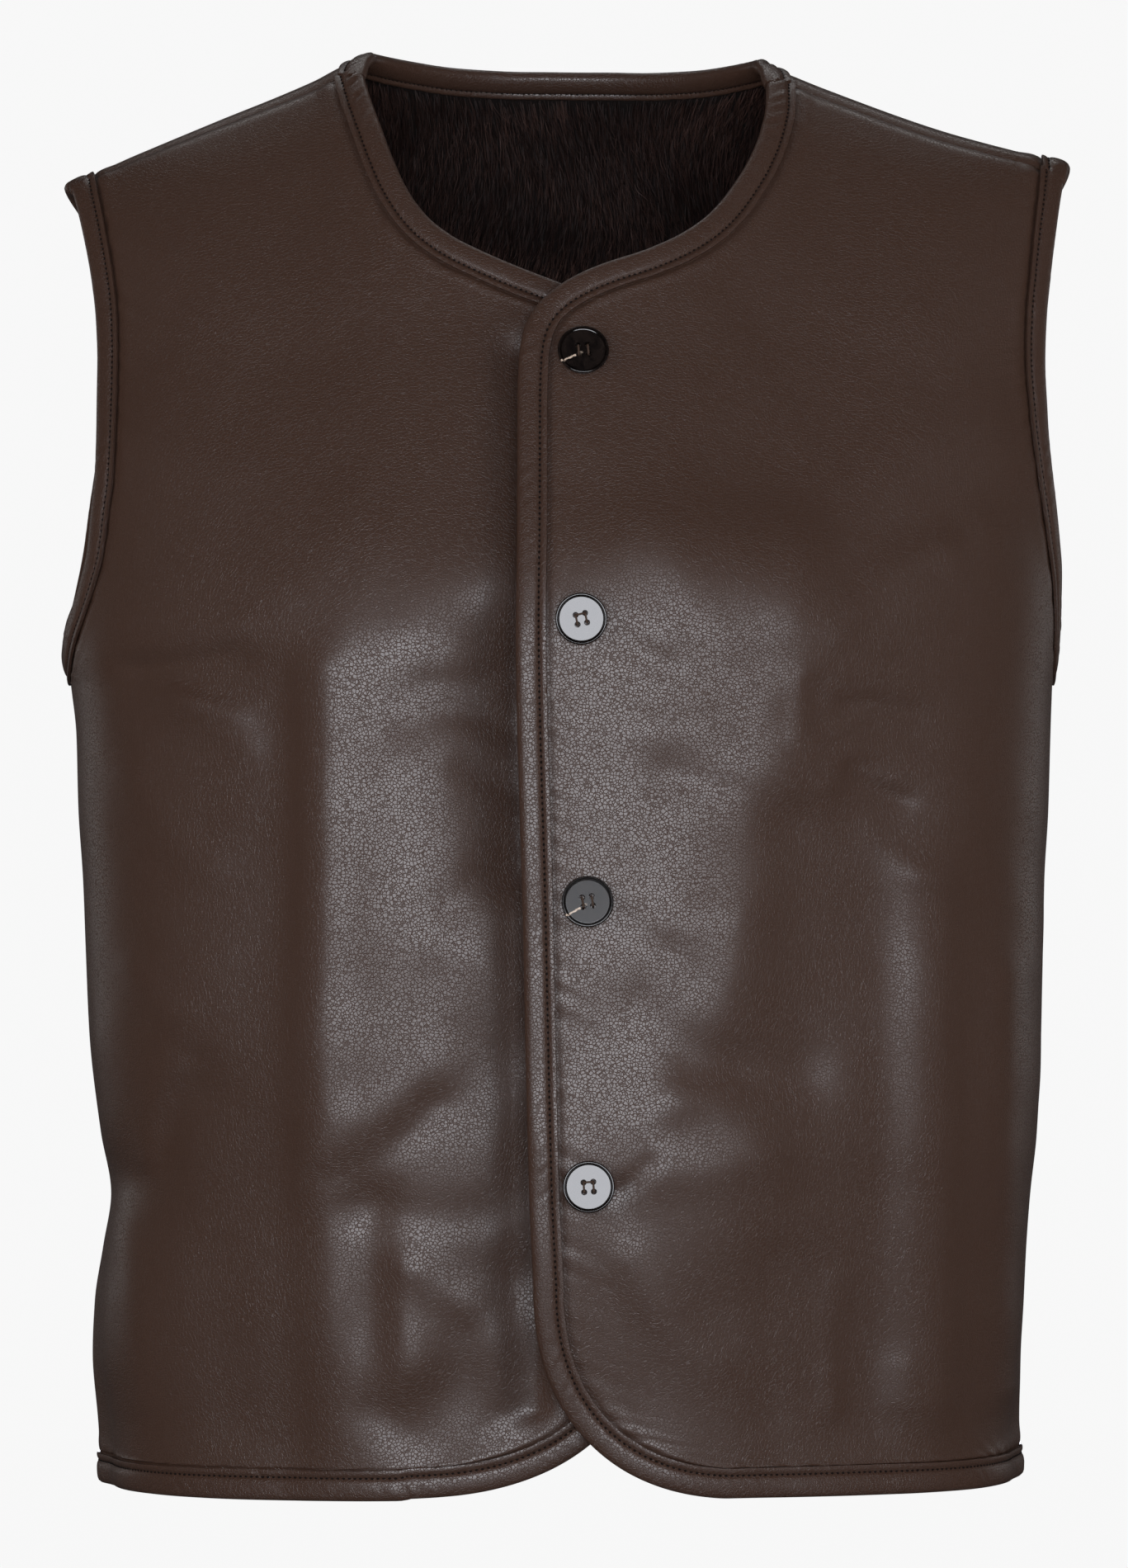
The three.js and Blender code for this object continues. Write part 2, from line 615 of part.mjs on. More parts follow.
// The binding as one folded strip along a path of frames
function bindingSolid(frames, isClosed) {
  const sides = BINDING_SECTION.length;
  const positions = frames.flatMap((frame) => {
    const inward = frame.point.clone().sub(frame.edge).normalize();
    return BINDING_SECTION.flatMap(({ inward: distance, height }) => {
      const share = Math.max(0, distance / BINDING_LAP);
      const normal = frame.edgeNormal.clone().lerp(frame.normal, share).normalize();
      const base = frame.edge.clone().lerp(frame.point, share);
      return base.addScaledVector(inward, Math.min(0, distance)).addScaledVector(normal, height).toArray();
    });
  });
  const indices = [];
  const segments = isClosed ? frames.length : frames.length - 1;
  for (let k = 0; k < segments; k += 1) {
    const here = k * sides;
    const next = ((k + 1) % frames.length) * sides;
    for (let s = 0; s < sides; s += 1) {
      const t = (s + 1) % sides;
      const runsInward = BINDING_SECTION[t].inward > BINDING_SECTION[s].inward;
      const [a, b] = runsInward ? [t, s] : [s, t];
      const face = quad(here + a, here + b, next + b, next + a);
      indices.push(...face.flatMap((corners) => (runsInward ? corners.reverse() : corners)));
    }
  }
  if (!isClosed) {
    const outline = BINDING_SECTION.map(({ inward, height }) => new THREE.Vector2(inward, height));
    const end = (frames.length - 1) * sides;
    for (const [a, b, c] of THREE.ShapeUtils.triangulateShape(outline, [])) {
      indices.push(c, b, a, a + end, b + end, c + end);
    }
  }
  return solidGeometry(positions, indices);
}

// Angle and level of the place on a front seen at x and z
function placeOn(surface, x, z) {
  let angle = x / 2.2;
  let level = 1;
  for (let i = 0; i < 12; i += 1) {
    const point = surface(angle, level);
    const { round, up } = slopesOf(surface, angle, level);
    const scale = 1 / (round.x * up.z - up.x * round.z);
    angle += ((x - point.x) * up.z - (z - point.z) * up.x) * scale;
    level += ((z - point.z) * round.x - (x - point.x) * round.z) * scale;
  }
  return { angle, level };
}

function manifoldOf(geometry) {
  geometry.deleteAttribute('normal');
  geometry.deleteAttribute('uv');
  const merged = mergeVertices(geometry, 1e-4);
  return new wasm.Manifold(new wasm.Mesh({
    numProp: 3,
    vertProperties: new Float32Array(merged.getAttribute('position').array),
    triVerts: new Uint32Array(merged.getIndex().array),
  }));
}

// A four-hole button lying on its back, with a raised rim round a flat middle
function buttonGeometry(turn) {
  const plateRadius = BUTTON_RADIUS - BUTTON_RIM;
  const profile = [
    [0, 0], [BUTTON_RADIUS - 2.4, 0], [BUTTON_RADIUS, 1.8], [BUTTON_RADIUS - 0.35, BUTTON_HEIGHT],
    [plateRadius, BUTTON_HEIGHT], [plateRadius - 0.4, BUTTON_PLATE_HEIGHT], [0, BUTTON_PLATE_HEIGHT],
  ].map(([radius, height]) => new THREE.Vector2(radius, height));
  let body = manifoldOf(new THREE.LatheGeometry(profile, 24));
  for (const [x, y] of [[1, 1], [-1, 1], [-1, -1], [1, -1]]) {
    const hole = new THREE.CylinderGeometry(BUTTON_HOLE_RADIUS, BUTTON_HOLE_RADIUS, 12, 8)
      .translate((x * BUTTON_HOLE_SPACING) / 2, 0, (y * BUTTON_HOLE_SPACING) / 2);
    body = body.subtract(manifoldOf(hole));
  }
  const cut = body.getMesh();
  const geometry = new THREE.BufferGeometry();
  geometry.setAttribute('position', new THREE.BufferAttribute(new Float32Array(cut.vertProperties), 3));
  geometry.setIndex([...cut.triVerts]);
  return geometry.rotateY(turn * DEG);
}

const garment = new THREE.Group();

function addPiece(name, geometry, material) {
  const mesh = new THREE.Mesh(geometry, material);
  mesh.name = name;
  garment.add(mesh);
  return mesh;
}

const clothMaterial = () => new THREE.MeshStandardMaterial({ color: 0x43322c, roughness: 0.42 });
const bindingMaterial = () => new THREE.MeshStandardMaterial({ color: 0x3d2d27, roughness: 0.42 });
const hornMaterial = () => new THREE.MeshStandardMaterial({ color: 0x6f5a4d, roughness: 0.25 });

// Grids of the panels, then the paths along their bound edges, each with the cloth on its left
const right = { grid: frontGrid('right'), surface: clothSurface('right') };
const left = { grid: frontGrid('left'), surface: clothSurface('left') };
const back = { grid: backGrid(), surface: clothSurface('back') };

right.grid.forEach((row) => row.reverse());

const lastFront = FRONT_COLUMNS;
const lastBack = back.grid[0].length - 1;
const neckLeft = BACK_SHOULDER_COLUMNS;
const neckRight = lastBack - BACK_SHOULDER_COLUMNS;
const columnOf = (grid, column, from, to) => grid.slice(from, to + 1).map((row) => row[column]);

// The left front's edge runs down the neckline and front edge, then out along the hem
left.edgePath = [
  ...columnOf(left.grid, 0, 0, topRow).reverse(),
  ...left.grid[0].slice(1),
];
right.edgePath = [
  ...right.grid[0].slice(0, lastFront),
  ...columnOf(right.grid, lastFront, 0, topRow),
];
back.hemPath = back.grid[0];
back.neckPath = back.grid[topRow].slice(neckLeft, neckRight + 1).reverse();

left.armPath = columnOf(left.grid, lastFront, armpitRow, topRow);
right.armPath = columnOf(right.grid, 0, armpitRow, topRow).reverse();
back.leftArmPath = columnOf(back.grid, 0, armpitRow, topRow).reverse();
back.rightArmPath = columnOf(back.grid, lastBack, armpitRow, topRow);

const endOf = (path) => path[path.length - 1];
const beforeEnd = (path) => path[path.length - 2];

left.edgeFrames = boundFrames(left.edgePath, left.surface, beforeEnd(back.neckPath), back.hemPath[1]);
right.edgeFrames = boundFrames(right.edgePath, right.surface, beforeEnd(back.hemPath), back.neckPath[1]);
back.hemFrames = boundFrames(back.hemPath, back.surface, beforeEnd(left.edgePath), right.edgePath[1]);
back.neckFrames = boundFrames(back.neckPath, back.surface, beforeEnd(right.edgePath), left.edgePath[1]);
left.armFrames = boundFrames(left.armPath, left.surface, beforeEnd(back.leftArmPath), back.leftArmPath[1]);
right.armFrames = boundFrames(right.armPath, right.surface, beforeEnd(back.rightArmPath), back.rightArmPath[1]);
back.leftArmFrames = boundFrames(back.leftArmPath, back.surface, beforeEnd(left.armPath), left.armPath[1]);
back.rightArmFrames = boundFrames(back.rightArmPath, back.surface, beforeEnd(right.armPath), right.armPath[1]);

addPiece('front_right', panelSolid(right.grid, [right.edgeFrames, right.armFrames]), clothMaterial());
addPiece('front_left', panelSolid(left.grid, [left.edgeFrames, left.armFrames]), clothMaterial());
addPiece('back', panelSolid(back.grid, [
  back.hemFrames, back.neckFrames, back.leftArmFrames, back.rightArmFrames,
]), clothMaterial());

addPiece('binding_right', bindingSolid(right.edgeFrames, false), bindingMaterial());
addPiece('binding_left', bindingSolid(left.edgeFrames, false), bindingMaterial());
addPiece('binding_neck_back', bindingSolid(back.neckFrames, false), bindingMaterial());
addPiece('binding_hem_back', bindingSolid(back.hemFrames, false), bindingMaterial());

// An armhole's binding is one ring, over the shoulder seam and under the arm
const ringFrames = (frontFrames, backFrames) => [...frontFrames, ...backFrames];
addPiece('binding_armhole_right',
  bindingSolid(ringFrames(right.armFrames, back.rightArmFrames), true), bindingMaterial());
addPiece('binding_armhole_left',
  bindingSolid(ringFrames(left.armFrames, back.leftArmFrames), true), bindingMaterial());

for (const { name, x, z, turn } of BUTTONS) {
  const { angle, level } = placeOn(left.surface, x, z);
  const normal = normalOf(left.surface, angle, level);
  const seat = left.surface(angle, level).addScaledVector(normal, BUTTON_CLEARANCE);
  const button = buttonGeometry(turn);
  button.applyQuaternion(new THREE.Quaternion().setFromUnitVectors(new THREE.Vector3(0, 1, 0), normal));
  addPiece(name, button.translate(seat.x, seat.y, seat.z), hornMaterial());
}

export default garment;
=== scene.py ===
import json
import math

import bpy
import numpy as np
from mathutils import Matrix, Vector

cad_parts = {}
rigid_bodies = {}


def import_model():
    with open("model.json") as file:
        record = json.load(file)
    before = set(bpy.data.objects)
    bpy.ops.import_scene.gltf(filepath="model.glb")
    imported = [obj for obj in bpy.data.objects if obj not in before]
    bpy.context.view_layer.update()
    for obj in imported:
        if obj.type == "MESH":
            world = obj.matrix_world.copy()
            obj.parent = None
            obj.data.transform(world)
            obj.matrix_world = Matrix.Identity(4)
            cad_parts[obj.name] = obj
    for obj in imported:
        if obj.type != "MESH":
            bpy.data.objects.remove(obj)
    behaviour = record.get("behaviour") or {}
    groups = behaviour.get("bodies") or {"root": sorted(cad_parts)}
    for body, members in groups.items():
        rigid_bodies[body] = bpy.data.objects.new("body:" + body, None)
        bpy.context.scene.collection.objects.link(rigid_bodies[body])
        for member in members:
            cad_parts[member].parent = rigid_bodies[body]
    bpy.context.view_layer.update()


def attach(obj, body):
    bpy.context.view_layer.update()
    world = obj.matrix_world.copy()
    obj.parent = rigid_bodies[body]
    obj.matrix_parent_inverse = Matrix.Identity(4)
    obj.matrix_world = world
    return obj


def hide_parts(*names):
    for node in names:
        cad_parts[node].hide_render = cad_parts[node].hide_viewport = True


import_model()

# A sleeveless jacket in grained leather with a fur inside, filled out as worn. Tables are in
# millimetres and meshes in metres. The wearer's left is +x and the front faces -y.
millimetre = 0.001

form = {
    "armpitZ": -203.0,
    "cornerTopZ": -438.0,
    # angle from centre front, height of the hem's fold line
    "hemLine": [(-180, -498), (-135, -505), (-90, -514), (-60, -514), (0, -512), (60, -511.5),
                (90, -511), (135, -504), (180, -498)],
    # height, half width right and left, depth front and back, squareness front and back
    "bodyRings": [
        (-530, 187.5, 185.5, 123, 110, 2.7, 2.5), (-500, 189.0, 184.5, 123, 109, 2.7, 2.5),
        (-474, 191.0, 184.8, 123, 108, 2.7, 2.5), (-452, 190.0, 186.0, 123, 106, 2.7, 2.5),
        (-430, 186.5, 187.0, 123, 104, 2.7, 2.4), (-409, 183.3, 188.6, 123, 103, 2.7, 2.4),
        (-384, 187.4, 191.3, 124, 103, 2.7, 2.4), (-344, 192.0, 193.0, 125, 105, 2.7, 2.4),
        (-283, 194.5, 194.3, 126, 110, 2.6, 2.4), (-253, 196.5, 196.0, 126, 113, 2.6, 2.4),
        (-223, 197.3, 196.8, 126, 115, 2.5, 2.4), (-203, 199.5, 197.5, 125.5, 115, 2.5, 2.4),
    ],
    # share of the rise from armpit to shoulder ridge, half widths, depths
    "chestRings": [
        (0.0, 199.5, 197.5, 125.5, 115), (0.04, 202.5, 199.0, 125, 116),
        (0.08, 204.5, 201.0, 123, 117), (0.2, 203.5, 204.0, 112, 120),
        (0.38, 201.0, 205.0, 96, 121), (0.7, 203.0, 207.0, 83, 112), (1.0, 209.0, 212.0, 78, 100),
    ],
    "chestSquare": (2.5, 2.4),
    "arch": {"neckX": 95, "neckSquare": 2.0, "tipX": 190, "tipSquare": 2.6},
    "ridge": [(-215, -6.5), (-185, 6.7), (-142, 25), (-101.7, 42), (-88, 49), (0, 74), (84, 47.6),
              (106, 38.9), (150, 22.9), (172, 16.5), (192, 11.5), (204, 8), (215, 4.5)],
    # height, x of the left front's edge, x of the right front's edge
    "frontEdge": [
        (-438, -0.2, 25.5), (-400, -1.9, 25.0), (-290, -4.4, 22.5), (-180, -7.0, 21.5),
        (-140, -6.6, 21.5), (-90, -6.5, 21.5), (-77, -6.1, 20.5), (-67, -4.8, 16.0),
        (-60, -1.6, 7.5), (-55, 3.7, -3.0), (-50, 12.2, -16.0), (-45.5, 23.0, -27.0),
        (-41, 36.5, -37.0), (-34, 52.0, -50.5), (-23.5, 66.5, -63.5), (-10, 77.5, -73.3),
        (4, 85.6, -79.8), (17, 90.5, -84.6), (30, 93.0, -89.3), (48, 93.5, -94.5),
    ],
    "cornerRun": {"left": 75, "right": 90},
    "cornerSquare": 2.4,
    # height, half width of the right and the left armhole on the front
    "frontArmhole": [
        (-203, 199.5, 197.5), (-199, 198.6, 197.4), (-188.6, 196, 197.2), (-176.6, 191.5, 197.4),
        (-163, 187, 196.4), (-151, 183.5, 194.2), (-134.5, 181, 191.5), (-117.6, 178.8, 189),
        (-94.7, 178.2, 186.3), (-73.3, 178.2, 184.8), (-53.1, 179.1, 185.3), (-36.2, 181.1, 187),
        (-17.2, 184.7, 189.2), (2, 189.3, 191.9), (12, 191.5, 193),
    ],
    "backArmhole": {"right": (58, -100, 3.5), "left": (56, -100, 11.0)},  # reach, widest z, top z
    "backArmholeSquare": (2.0, 2.1),
    "shoulderSeam": {"right": (79, 82), "left": (79, 76)},  # degrees up the front, neck and tip
    "backNeckAngle": 61.7,
    "lap": {"left": (-4.0, 36, 90), "right": (5.4, -20, -80)},  # move, full from x, none from x
    "seamGap": 0.3,
    "sideRun": 3.3, "shoulderRun": 120,  # one degree at the side seams, one level at the shoulder seams
    "bindingLap": 10.4,
}


def smoothStep(t):
    c = np.clip(t, 0, 1)
    return c * c * (3 - 2 * c)


def mix(a, b, t):
    return a + (b - a) * t


def unit(v):
    return v / np.maximum(np.linalg.norm(v, axis=-1, keepdims=True), 1e-12)


# Smooth curve through a table's rows, with no overshoot
def curveOf(rows, column=1):
    keys = np.array([row[0] for row in rows], float)
    values = np.array([row[column] for row in rows], float)
    slope = np.diff(values) / np.diff(keys)
    product, total = slope[:-1] * slope[1:], slope[:-1] + slope[1:]
    inside = np.where(product > 0, 2 * product / np.where(product > 0, total, 1), 0)
    tangent = np.concatenate([slope[:1], inside, slope[-1:]])

    def read(at):
        at = np.clip(at, keys[0], keys[-1])
        k = np.clip(np.searchsorted(keys, at, side="right") - 1, 0, len(keys) - 2)
        run = keys[k + 1] - keys[k]
        t = (at - keys[k]) / run
        return ((2 * t**3 - 3 * t**2 + 1) * values[k] + (t**3 - 2 * t**2 + t) * run * tangent[k]
                + (3 * t**2 - 2 * t**3) * values[k + 1] + (t**3 - t**2) * run * tangent[k + 1])

    return read


hemAt = curveOf(form["hemLine"])
ridgeAt = curveOf(form["ridge"])
bodyAt = [curveOf(form["bodyRings"], column) for column in range(1, 7)]
chestAt = [curveOf(form["chestRings"], column) for column in range(1, 5)]
edgeAt = {"left": curveOf(form["frontEdge"], 1), "right": curveOf(form["frontEdge"], 2)}
armholeAt = {"right": curveOf(form["frontArmhole"], 1), "left": curveOf(form["frontArmhole"], 2)}
bottomZ = float(hemAt(0.0))
cornerShare = (form["cornerTopZ"] - bottomZ) / (form["armpitZ"] - bottomZ)


# Half width, depth and squareness of a ring to one side and to the front or back
def ringShape(z, rise, isLeft, isFront):
    isChest = rise > 0
    half = np.where(isLeft, np.where(isChest, chestAt[1](rise), bodyAt[1](z)),
                    np.where(isChest, chestAt[0](rise), bodyAt[0](z)))
    depth = np.where(isFront, np.where(isChest, chestAt[2](rise), bodyAt[2](z)),
                     np.where(isChest, chestAt[3](rise), bodyAt[3](z)))
    square = np.where(isFront, np.where(isChest, form["chestSquare"][0], bodyAt[4](z)),
                      np.where(isChest, form["chestSquare"][1], bodyAt[5](z)))
    return half, depth, square


# The form under the cloth. Angle runs round from centre front to the wearer's left. Level is 0 at
# the hem, 1 at the armpit, 2 on the shoulder ridge, and past 2 it runs down the other side.
def formPoint(angle, level):
    angle, level = np.broadcast_arrays(np.asarray(angle, float), np.asarray(level, float))
    sine, cosine = np.sin(np.radians(angle)), np.cos(np.radians(angle))
    isFront, isLeft = cosine >= 0, sine >= 0
    ringZ = mix(hemAt(np.where(angle > 180, angle - 360, angle)), form["armpitZ"], np.minimum(level, 1))
    rise = np.clip(level - 1, 0, 1)
    half, depth, square = ringShape(ringZ, rise, isLeft, isFront)
    radius = ((np.abs(cosine) / depth) ** square + (np.abs(sine) / half) ** square) ** (-1 / square)
    x, y = radius * sine, -radius * cosine
    climb = np.radians(90 * np.clip(level - 1, 0, 2))
    arch = form["arch"]
    toTip = smoothStep((np.abs(x) - arch["neckX"]) / (arch["tipX"] - arch["neckX"]))
    power = 2 / mix(arch["neckSquare"], arch["tipSquare"], toTip * smoothStep(rise * 4))
    rising = mix(form["armpitZ"], ridgeAt(x), np.abs(np.sin(climb)) ** power)
    across = np.abs(np.cos(climb)) ** power
    otherHalf, otherDepth, otherSquare = ringShape(ringZ, np.maximum(3 - level, 1e-6), isLeft, ~isFront)
    over = np.clip(1 - (np.abs(x) / otherHalf) ** otherSquare, 0, 1) ** (1 / otherSquare)
    beyond = np.where(isFront, 1, -1) * otherDepth * over * across
    z = np.where(level <= 1, ringZ, rising)
    y = np.where(level <= 1, y, np.where(level <= 2, y * across, beyond))
    return np.stack([x, y, z], axis=-1)


def slopesOf(surface, angle, level, stepAngle=0.05, stepLevel=0.0004):
    around = (surface(angle + stepAngle, level) - surface(angle - stepAngle, level)) / (2 * stepAngle)
    up = (surface(angle, level + stepLevel) - surface(angle, level - stepLevel)) / (2 * stepLevel)
    return around, up


def normalOf(surface, angle, level):
    around, up = slopesOf(surface, angle, level)
    return unit(np.cross(around, up))


# Creases of each panel: from x, z to x, z, how far the middle bows aside, width, height out of the
# cloth, how sharp (0 soft, 1 creased), and for some how much wider on the right as they run down.
# A trough has a negative height.
creases = {
    "right": [
        (-116, -222, -114, -495, 0, 26, -4.0, 0, 0.5), (-150, -330, -155, -300, 0, 20, 1.2, 0),
        (-168, -199, -130, -196, 0, 10, -2.4, 0), (-150, -210, -128, -226, 0, 9, 2.0, 0),
        (-60, -216, -24, -212, 0, 12, -1.6, 0), (-30, -352, -70, -404, 0, 15, -1.2, 0),
        (-26, -440, -62, -494, 0, 15, -2.4, 0), (-172, -396, -146, -366, 0, 14, -2.6, 0),
        # the flat bright field and the corner where it turns to the side
        (-95, -200, -96, -400, 2, 13, 3.0, 0),
        (-112, -196, -108, -300, -2, 8, -0.8, 0.3), (-60, -250, -62, -360, 4, 30, 1.2, 0),
        (-98, -166, -25, -164, 0, 26, 1.2, 0),
        # beside the armhole and the bust
        (-176, -196, -134, -191, 2, 4.5, -1.1, 0.5), (-131, -184, -128, -180, 0, 6, 0.8, 0),
        (-147, -210, -130, -217, -1, 4, 1.0, 0.5), (-150, -203, -131, -208, 1, 3.5, -0.8, 0.5),
        (-171, -240, -141, -276, 4, 8, 1.1, 0), (-171, -316, -153, -334, 2, 7, 1.0, 0),
        (-154, -356, -168, -392, 4, 5.5, 1.5, 0.3), (-148, -352, -160, -394, 4, 6, -1.1, 0.3),
        # short troughs from the overlap inwards
        (-19, -195, -52, -203, -3, 7, -1.1, 0.2), (-20, -224, -46, -212, 2, 7, -1.0, 0.2),
        (-16, -249, -38, -236, 1, 7, -1.0, 0.2), (-26, -208, -44, -208, 0, 7, 0.6, 0),
        (-20, -280, -44, -290, 2, 9, -0.8, 0), (-18, -322, -50, -306, 3, 10, 0.7, 0),
        (-52, -368, -93, -398, -4, 8, -1.5, 0.1), (-44, -352, -84, -376, -3, 9, 0.6, 0),
        (-78, -408, -74, -486, 2, 11, -2.6, 0.1), (-62, -430, -38, -446, 2, 7, 1.1, 0),
        (-63, -436, -60, -474, 1, 7, 1.1, 0), (-40, -462, -30, -492, 2, 10, -1.2, 0),
        (-21, -186, -20, -272, 1, 17, -5.4, 0), (-92, -408, -30, -412, 3, 9, -0.9, 0),
        # where the cloth goes in under the other front
        (-17, -74, -16, -488, 0, 8.5, -3.5, 0), (-10.5, -80, -10, -488, 0, 4.5, -1.9, 0),
        (-100, -540, 30, -540, 0, 92, -9.0, 0), (-68, -478, -36, -458, 0, 16, 2.8, 0),
        (-190, -512, -120, -512, 0, 50, -2.5, 0), (-140, -430, -136, -490, 3, 12, -1.2, 0),
        (-176, -420, -172, -488, -2, 8, 1.2, 0), (-120, -120, -60, -140, 5, 22, 0.7, 0),
    ],
    "left": [
        (90, -262, 98, -400, 0, 15, -1.4, 0), (124, -258, 124, -490, 0, 27, -5.4, 0, 0.33),
        (112, -186, 165, -146, 0, 12, 2.2, 0), (110, -216, 138, -222, 0, 10, -2.4, 0),
        (52, -352, 92, -356, 2, 14, -2.4, 0), (40, -393, 76, -388, 2, 13, 1.9, 0),
        (62, -450, 92, -436, 0, 18, -1.4, 0), (91, -176, 88, -232, 1, 27, 2.8, 0),
        (85, -238, 72, -310, -1, 24, 2.0, 0), (34, -146, 88, -150, 3, 20, 2.4, 0),
        (44, -176, 88, -178, 2, 20, 1.5, 0),
        (-10, -540, 105, -540, 0, 92, -9.0, 0), (22, -382, 92, -388, 0, 38, 2.6, 0),
        (8, -426, 62, -424, 0, 40, 3.0, 0),
        (72, -300, 44, -362, -3, 13, 1.4, 0),
        # the fold from the armhole to the bust, and the small creases round the bust point
        (149, -150, 111, -180, 4, 7, 1.4, 0.2), (144, -160, 112, -190, 4, 7, -1.2, 0.2),
        (98.4, -203, 98.2, -220, 0, 2.6, -1.2, 0.7), (94, -200, 93, -224, 0, 4.5, 0.9, 0.2),
        (108, -180, 119, -183, 0, 3.2, -0.8, 0.6), (112, -212, 138, -214, -2, 4, -1.2, 0.4),
        (106, -224, 116, -216, 0, 2.8, 0.9, 0.6), (106, -228, 124, -236, 1, 3.4, -1.3, 0.6),
        (113, -236, 136, -250, 1, 4.0, -1.5, 0.5), (112, -230, 134, -242, 1, 3.6, 0.9, 0.4),
        (104, -244, 110, -232, 0, 3.4, 0.9, 0.4), (124, -262, 141, -279, 2, 7, 1.3, 0.1),
        # upright folds down the side of the front
        (148, -284, 150, -486, 2, 13, 2.6, 0, 0.3), (109, -440, 109, -490, 2, 6, 1.0, 0),
        (84, -428, 82, -490, 3, 9, -0.8, 0), (108, -476, 109, -487, 0, 5, 0.8, 0),
        (137, -474, 138, -486, 0, 6, 0.8, 0), (176, -320, 180, -484, 3, 10, 2.8, 0),
        # round the buttons
        (20, -402, 33, -391, 1, 4.0, -1.1, 0.4), (24, -186, 40, -196, 1, 6, -0.9, 0.1),
        (24, -296, 40, -306, 1, 7, -0.7, 0), (10, -150, 86, -158, 0, 28, 2.2, 0),
        # wide soft waves across the bright field
        (40, -240, 88, -258, -4, 8, -0.9, 0), (34, -222, 86, -206, 4, 9, 0.8, 0),
        (30, -330, 66, -352, 3, 10, -0.9, 0), (36, -300, 78, -286, 4, 11, 0.8, 0),
        (26, -430, 60, -470, 4, 9, 0.9, 0), (30, -376, 60, -366, -3, 9, 0.9, 0),
    ],
    "back": [
        (0, -120, 0, -470, 0, 30, -3.0, 0), (-95, -210, -88, -480, 0, 20, 3.0, 0),
        (92, -220, 96, -480, 0, 20, 3.0, 0), (-150, -190, -120, -250, 0, 14, -2.6, 0),
        (152, -186, 122, -246, 0, 14, -2.6, 0),
        (-171, -212, -138, -236, 3, 7, -1.4, 0.2), (-160, -196, -128, -206, -2, 6, 1.1, 0.2),
        (170, -206, 140, -224, -3, 7, -1.5, 0.2), (158, -232, 128, -268, 3, 8, 1.2, 0.1),
        (-34, -132, -58, -214, 5, 10, -1.2, 0.1), (36, -140, 52, -206, -4, 9, -1.0, 0.1),
        (-118, -300, -74, -322, 4, 10, -1.3, 0.1), (112, -336, 62, -352, -4, 11, -1.4, 0.1),
        (-142, -386, -106, -404, 3, 8, 1.1, 0.2), (-60, -404, -52, -486, 2, 9, -1.3, 0.1),
        (38, -396, 46, -488, -2, 10, 1.3, 0), (122, -430, 116, -488, 2, 8, -1.4, 0.1),
        (-128, -440, -124, -488, 2, 7, 1.2, 0.1), (146, -300, 152, -380, 3, 9, 1.2, 0),
        (-158, -270, -164, -350, 4, 9, -1.2, 0), (-20, -250, 22, -262, 4, 12, 0.8, 0),
        (-66, -66, -92, -96, 3, 9, -0.9, 0), (62, -60, 96, -88, -3, 9, 0.9, 0),
    ],
}
drift = {"seed": 4, "waves": 16, "longest": 90, "shortest": 22, "height": 0.36}
sideFade = 30.0  # how far from the side plane the creases reach their full height


# Soft unevenness that no one crease accounts for
def driftHeight(side, x, z):
    rng = np.random.default_rng(drift["seed"] + len(side))
    height = np.zeros_like(x)
    for _ in range(drift["waves"]):
        length = rng.uniform(drift["shortest"], drift["longest"])
        turn, phase = rng.uniform(0, math.pi, 2) * (1, 2)
        run = x * math.cos(turn) + z * math.sin(turn)
        height += math.sqrt(length / drift["longest"]) * np.sin(2 * math.pi * run / length + phase)
    return height * drift["height"] / math.sqrt(drift["waves"])


# How far the creases move a panel's point out, with none at the side seams and shoulder ridge
def creaseHeight(side, point):
    x, y, z = point[..., 0], point[..., 1], point[..., 2]
    height = driftHeight(side, x, z)
    for x0, z0, x1, z1, bow, width, depth, sharp, *skew in creases[side]:
        runX, runZ = x1 - x0, z1 - z0
        length = math.hypot(runX, runZ)
        along = ((x - x0) * runX + (z - z0) * runZ) / length**2
        t = np.clip(along, 0, 1)
        beside = ((x - x0) * runZ - (z - z0) * runX) / length - 4 * bow * t * (1 - t)
        if skew:  # wider on one side than on the other
            beside = beside / np.where(beside > 0, 1 + skew[0], 1 - skew[0])
        away = np.hypot(beside, (along - t) * length)
        height = height + depth * np.exp(-((away / width) ** (2 - 0.8 * sharp)))
    return height * smoothStep(np.abs(y) / sideFade)


# A panel's outer face: the form, its creases and the lap of the fronts
def clothSurface(side):
    def surface(angle, level):
        point = formPoint(angle, level)
        height = creaseHeight(side, point)
        moved = point + normalOf(formPoint, angle, level) * height[..., None]
        if side in form["lap"]:
            move, fullX, endX = form["lap"][side]
            moved[..., 1] += move * smoothStep((moved[..., 0] - endX) / (fullX - endX))
        return moved

    return surface


surfaces = {side: clothSurface(side) for side in ("right", "left", "back")}


# The value between two others where a function crosses zero
def findZero(crossing, start, end):
    a, b = np.array(start, float), np.array(end, float)
    startsNegative = crossing(a) < 0
    for _ in range(40):  # each time round halves the span
        middle = (a + b) / 2
        isBefore = (crossing(middle) < 0) == startsNegative
        a, b = np.where(isBefore, middle, a), np.where(isBefore, b, middle)
    return (a + b) / 2


def signOf(side):
    return 1 if side == "left" else -1


# x of a front's inner fold line at a height
def innerEdge(side, z):
    drop = np.clip((form["cornerTopZ"] - z) / (form["cornerTopZ"] - bottomZ), 0, 1)
    inward = 1 - (1 - drop ** form["cornerSquare"]) ** (1 / form["cornerSquare"])
    return edgeAt[side](z) + signOf(side) * form["cornerRun"][side] * inward


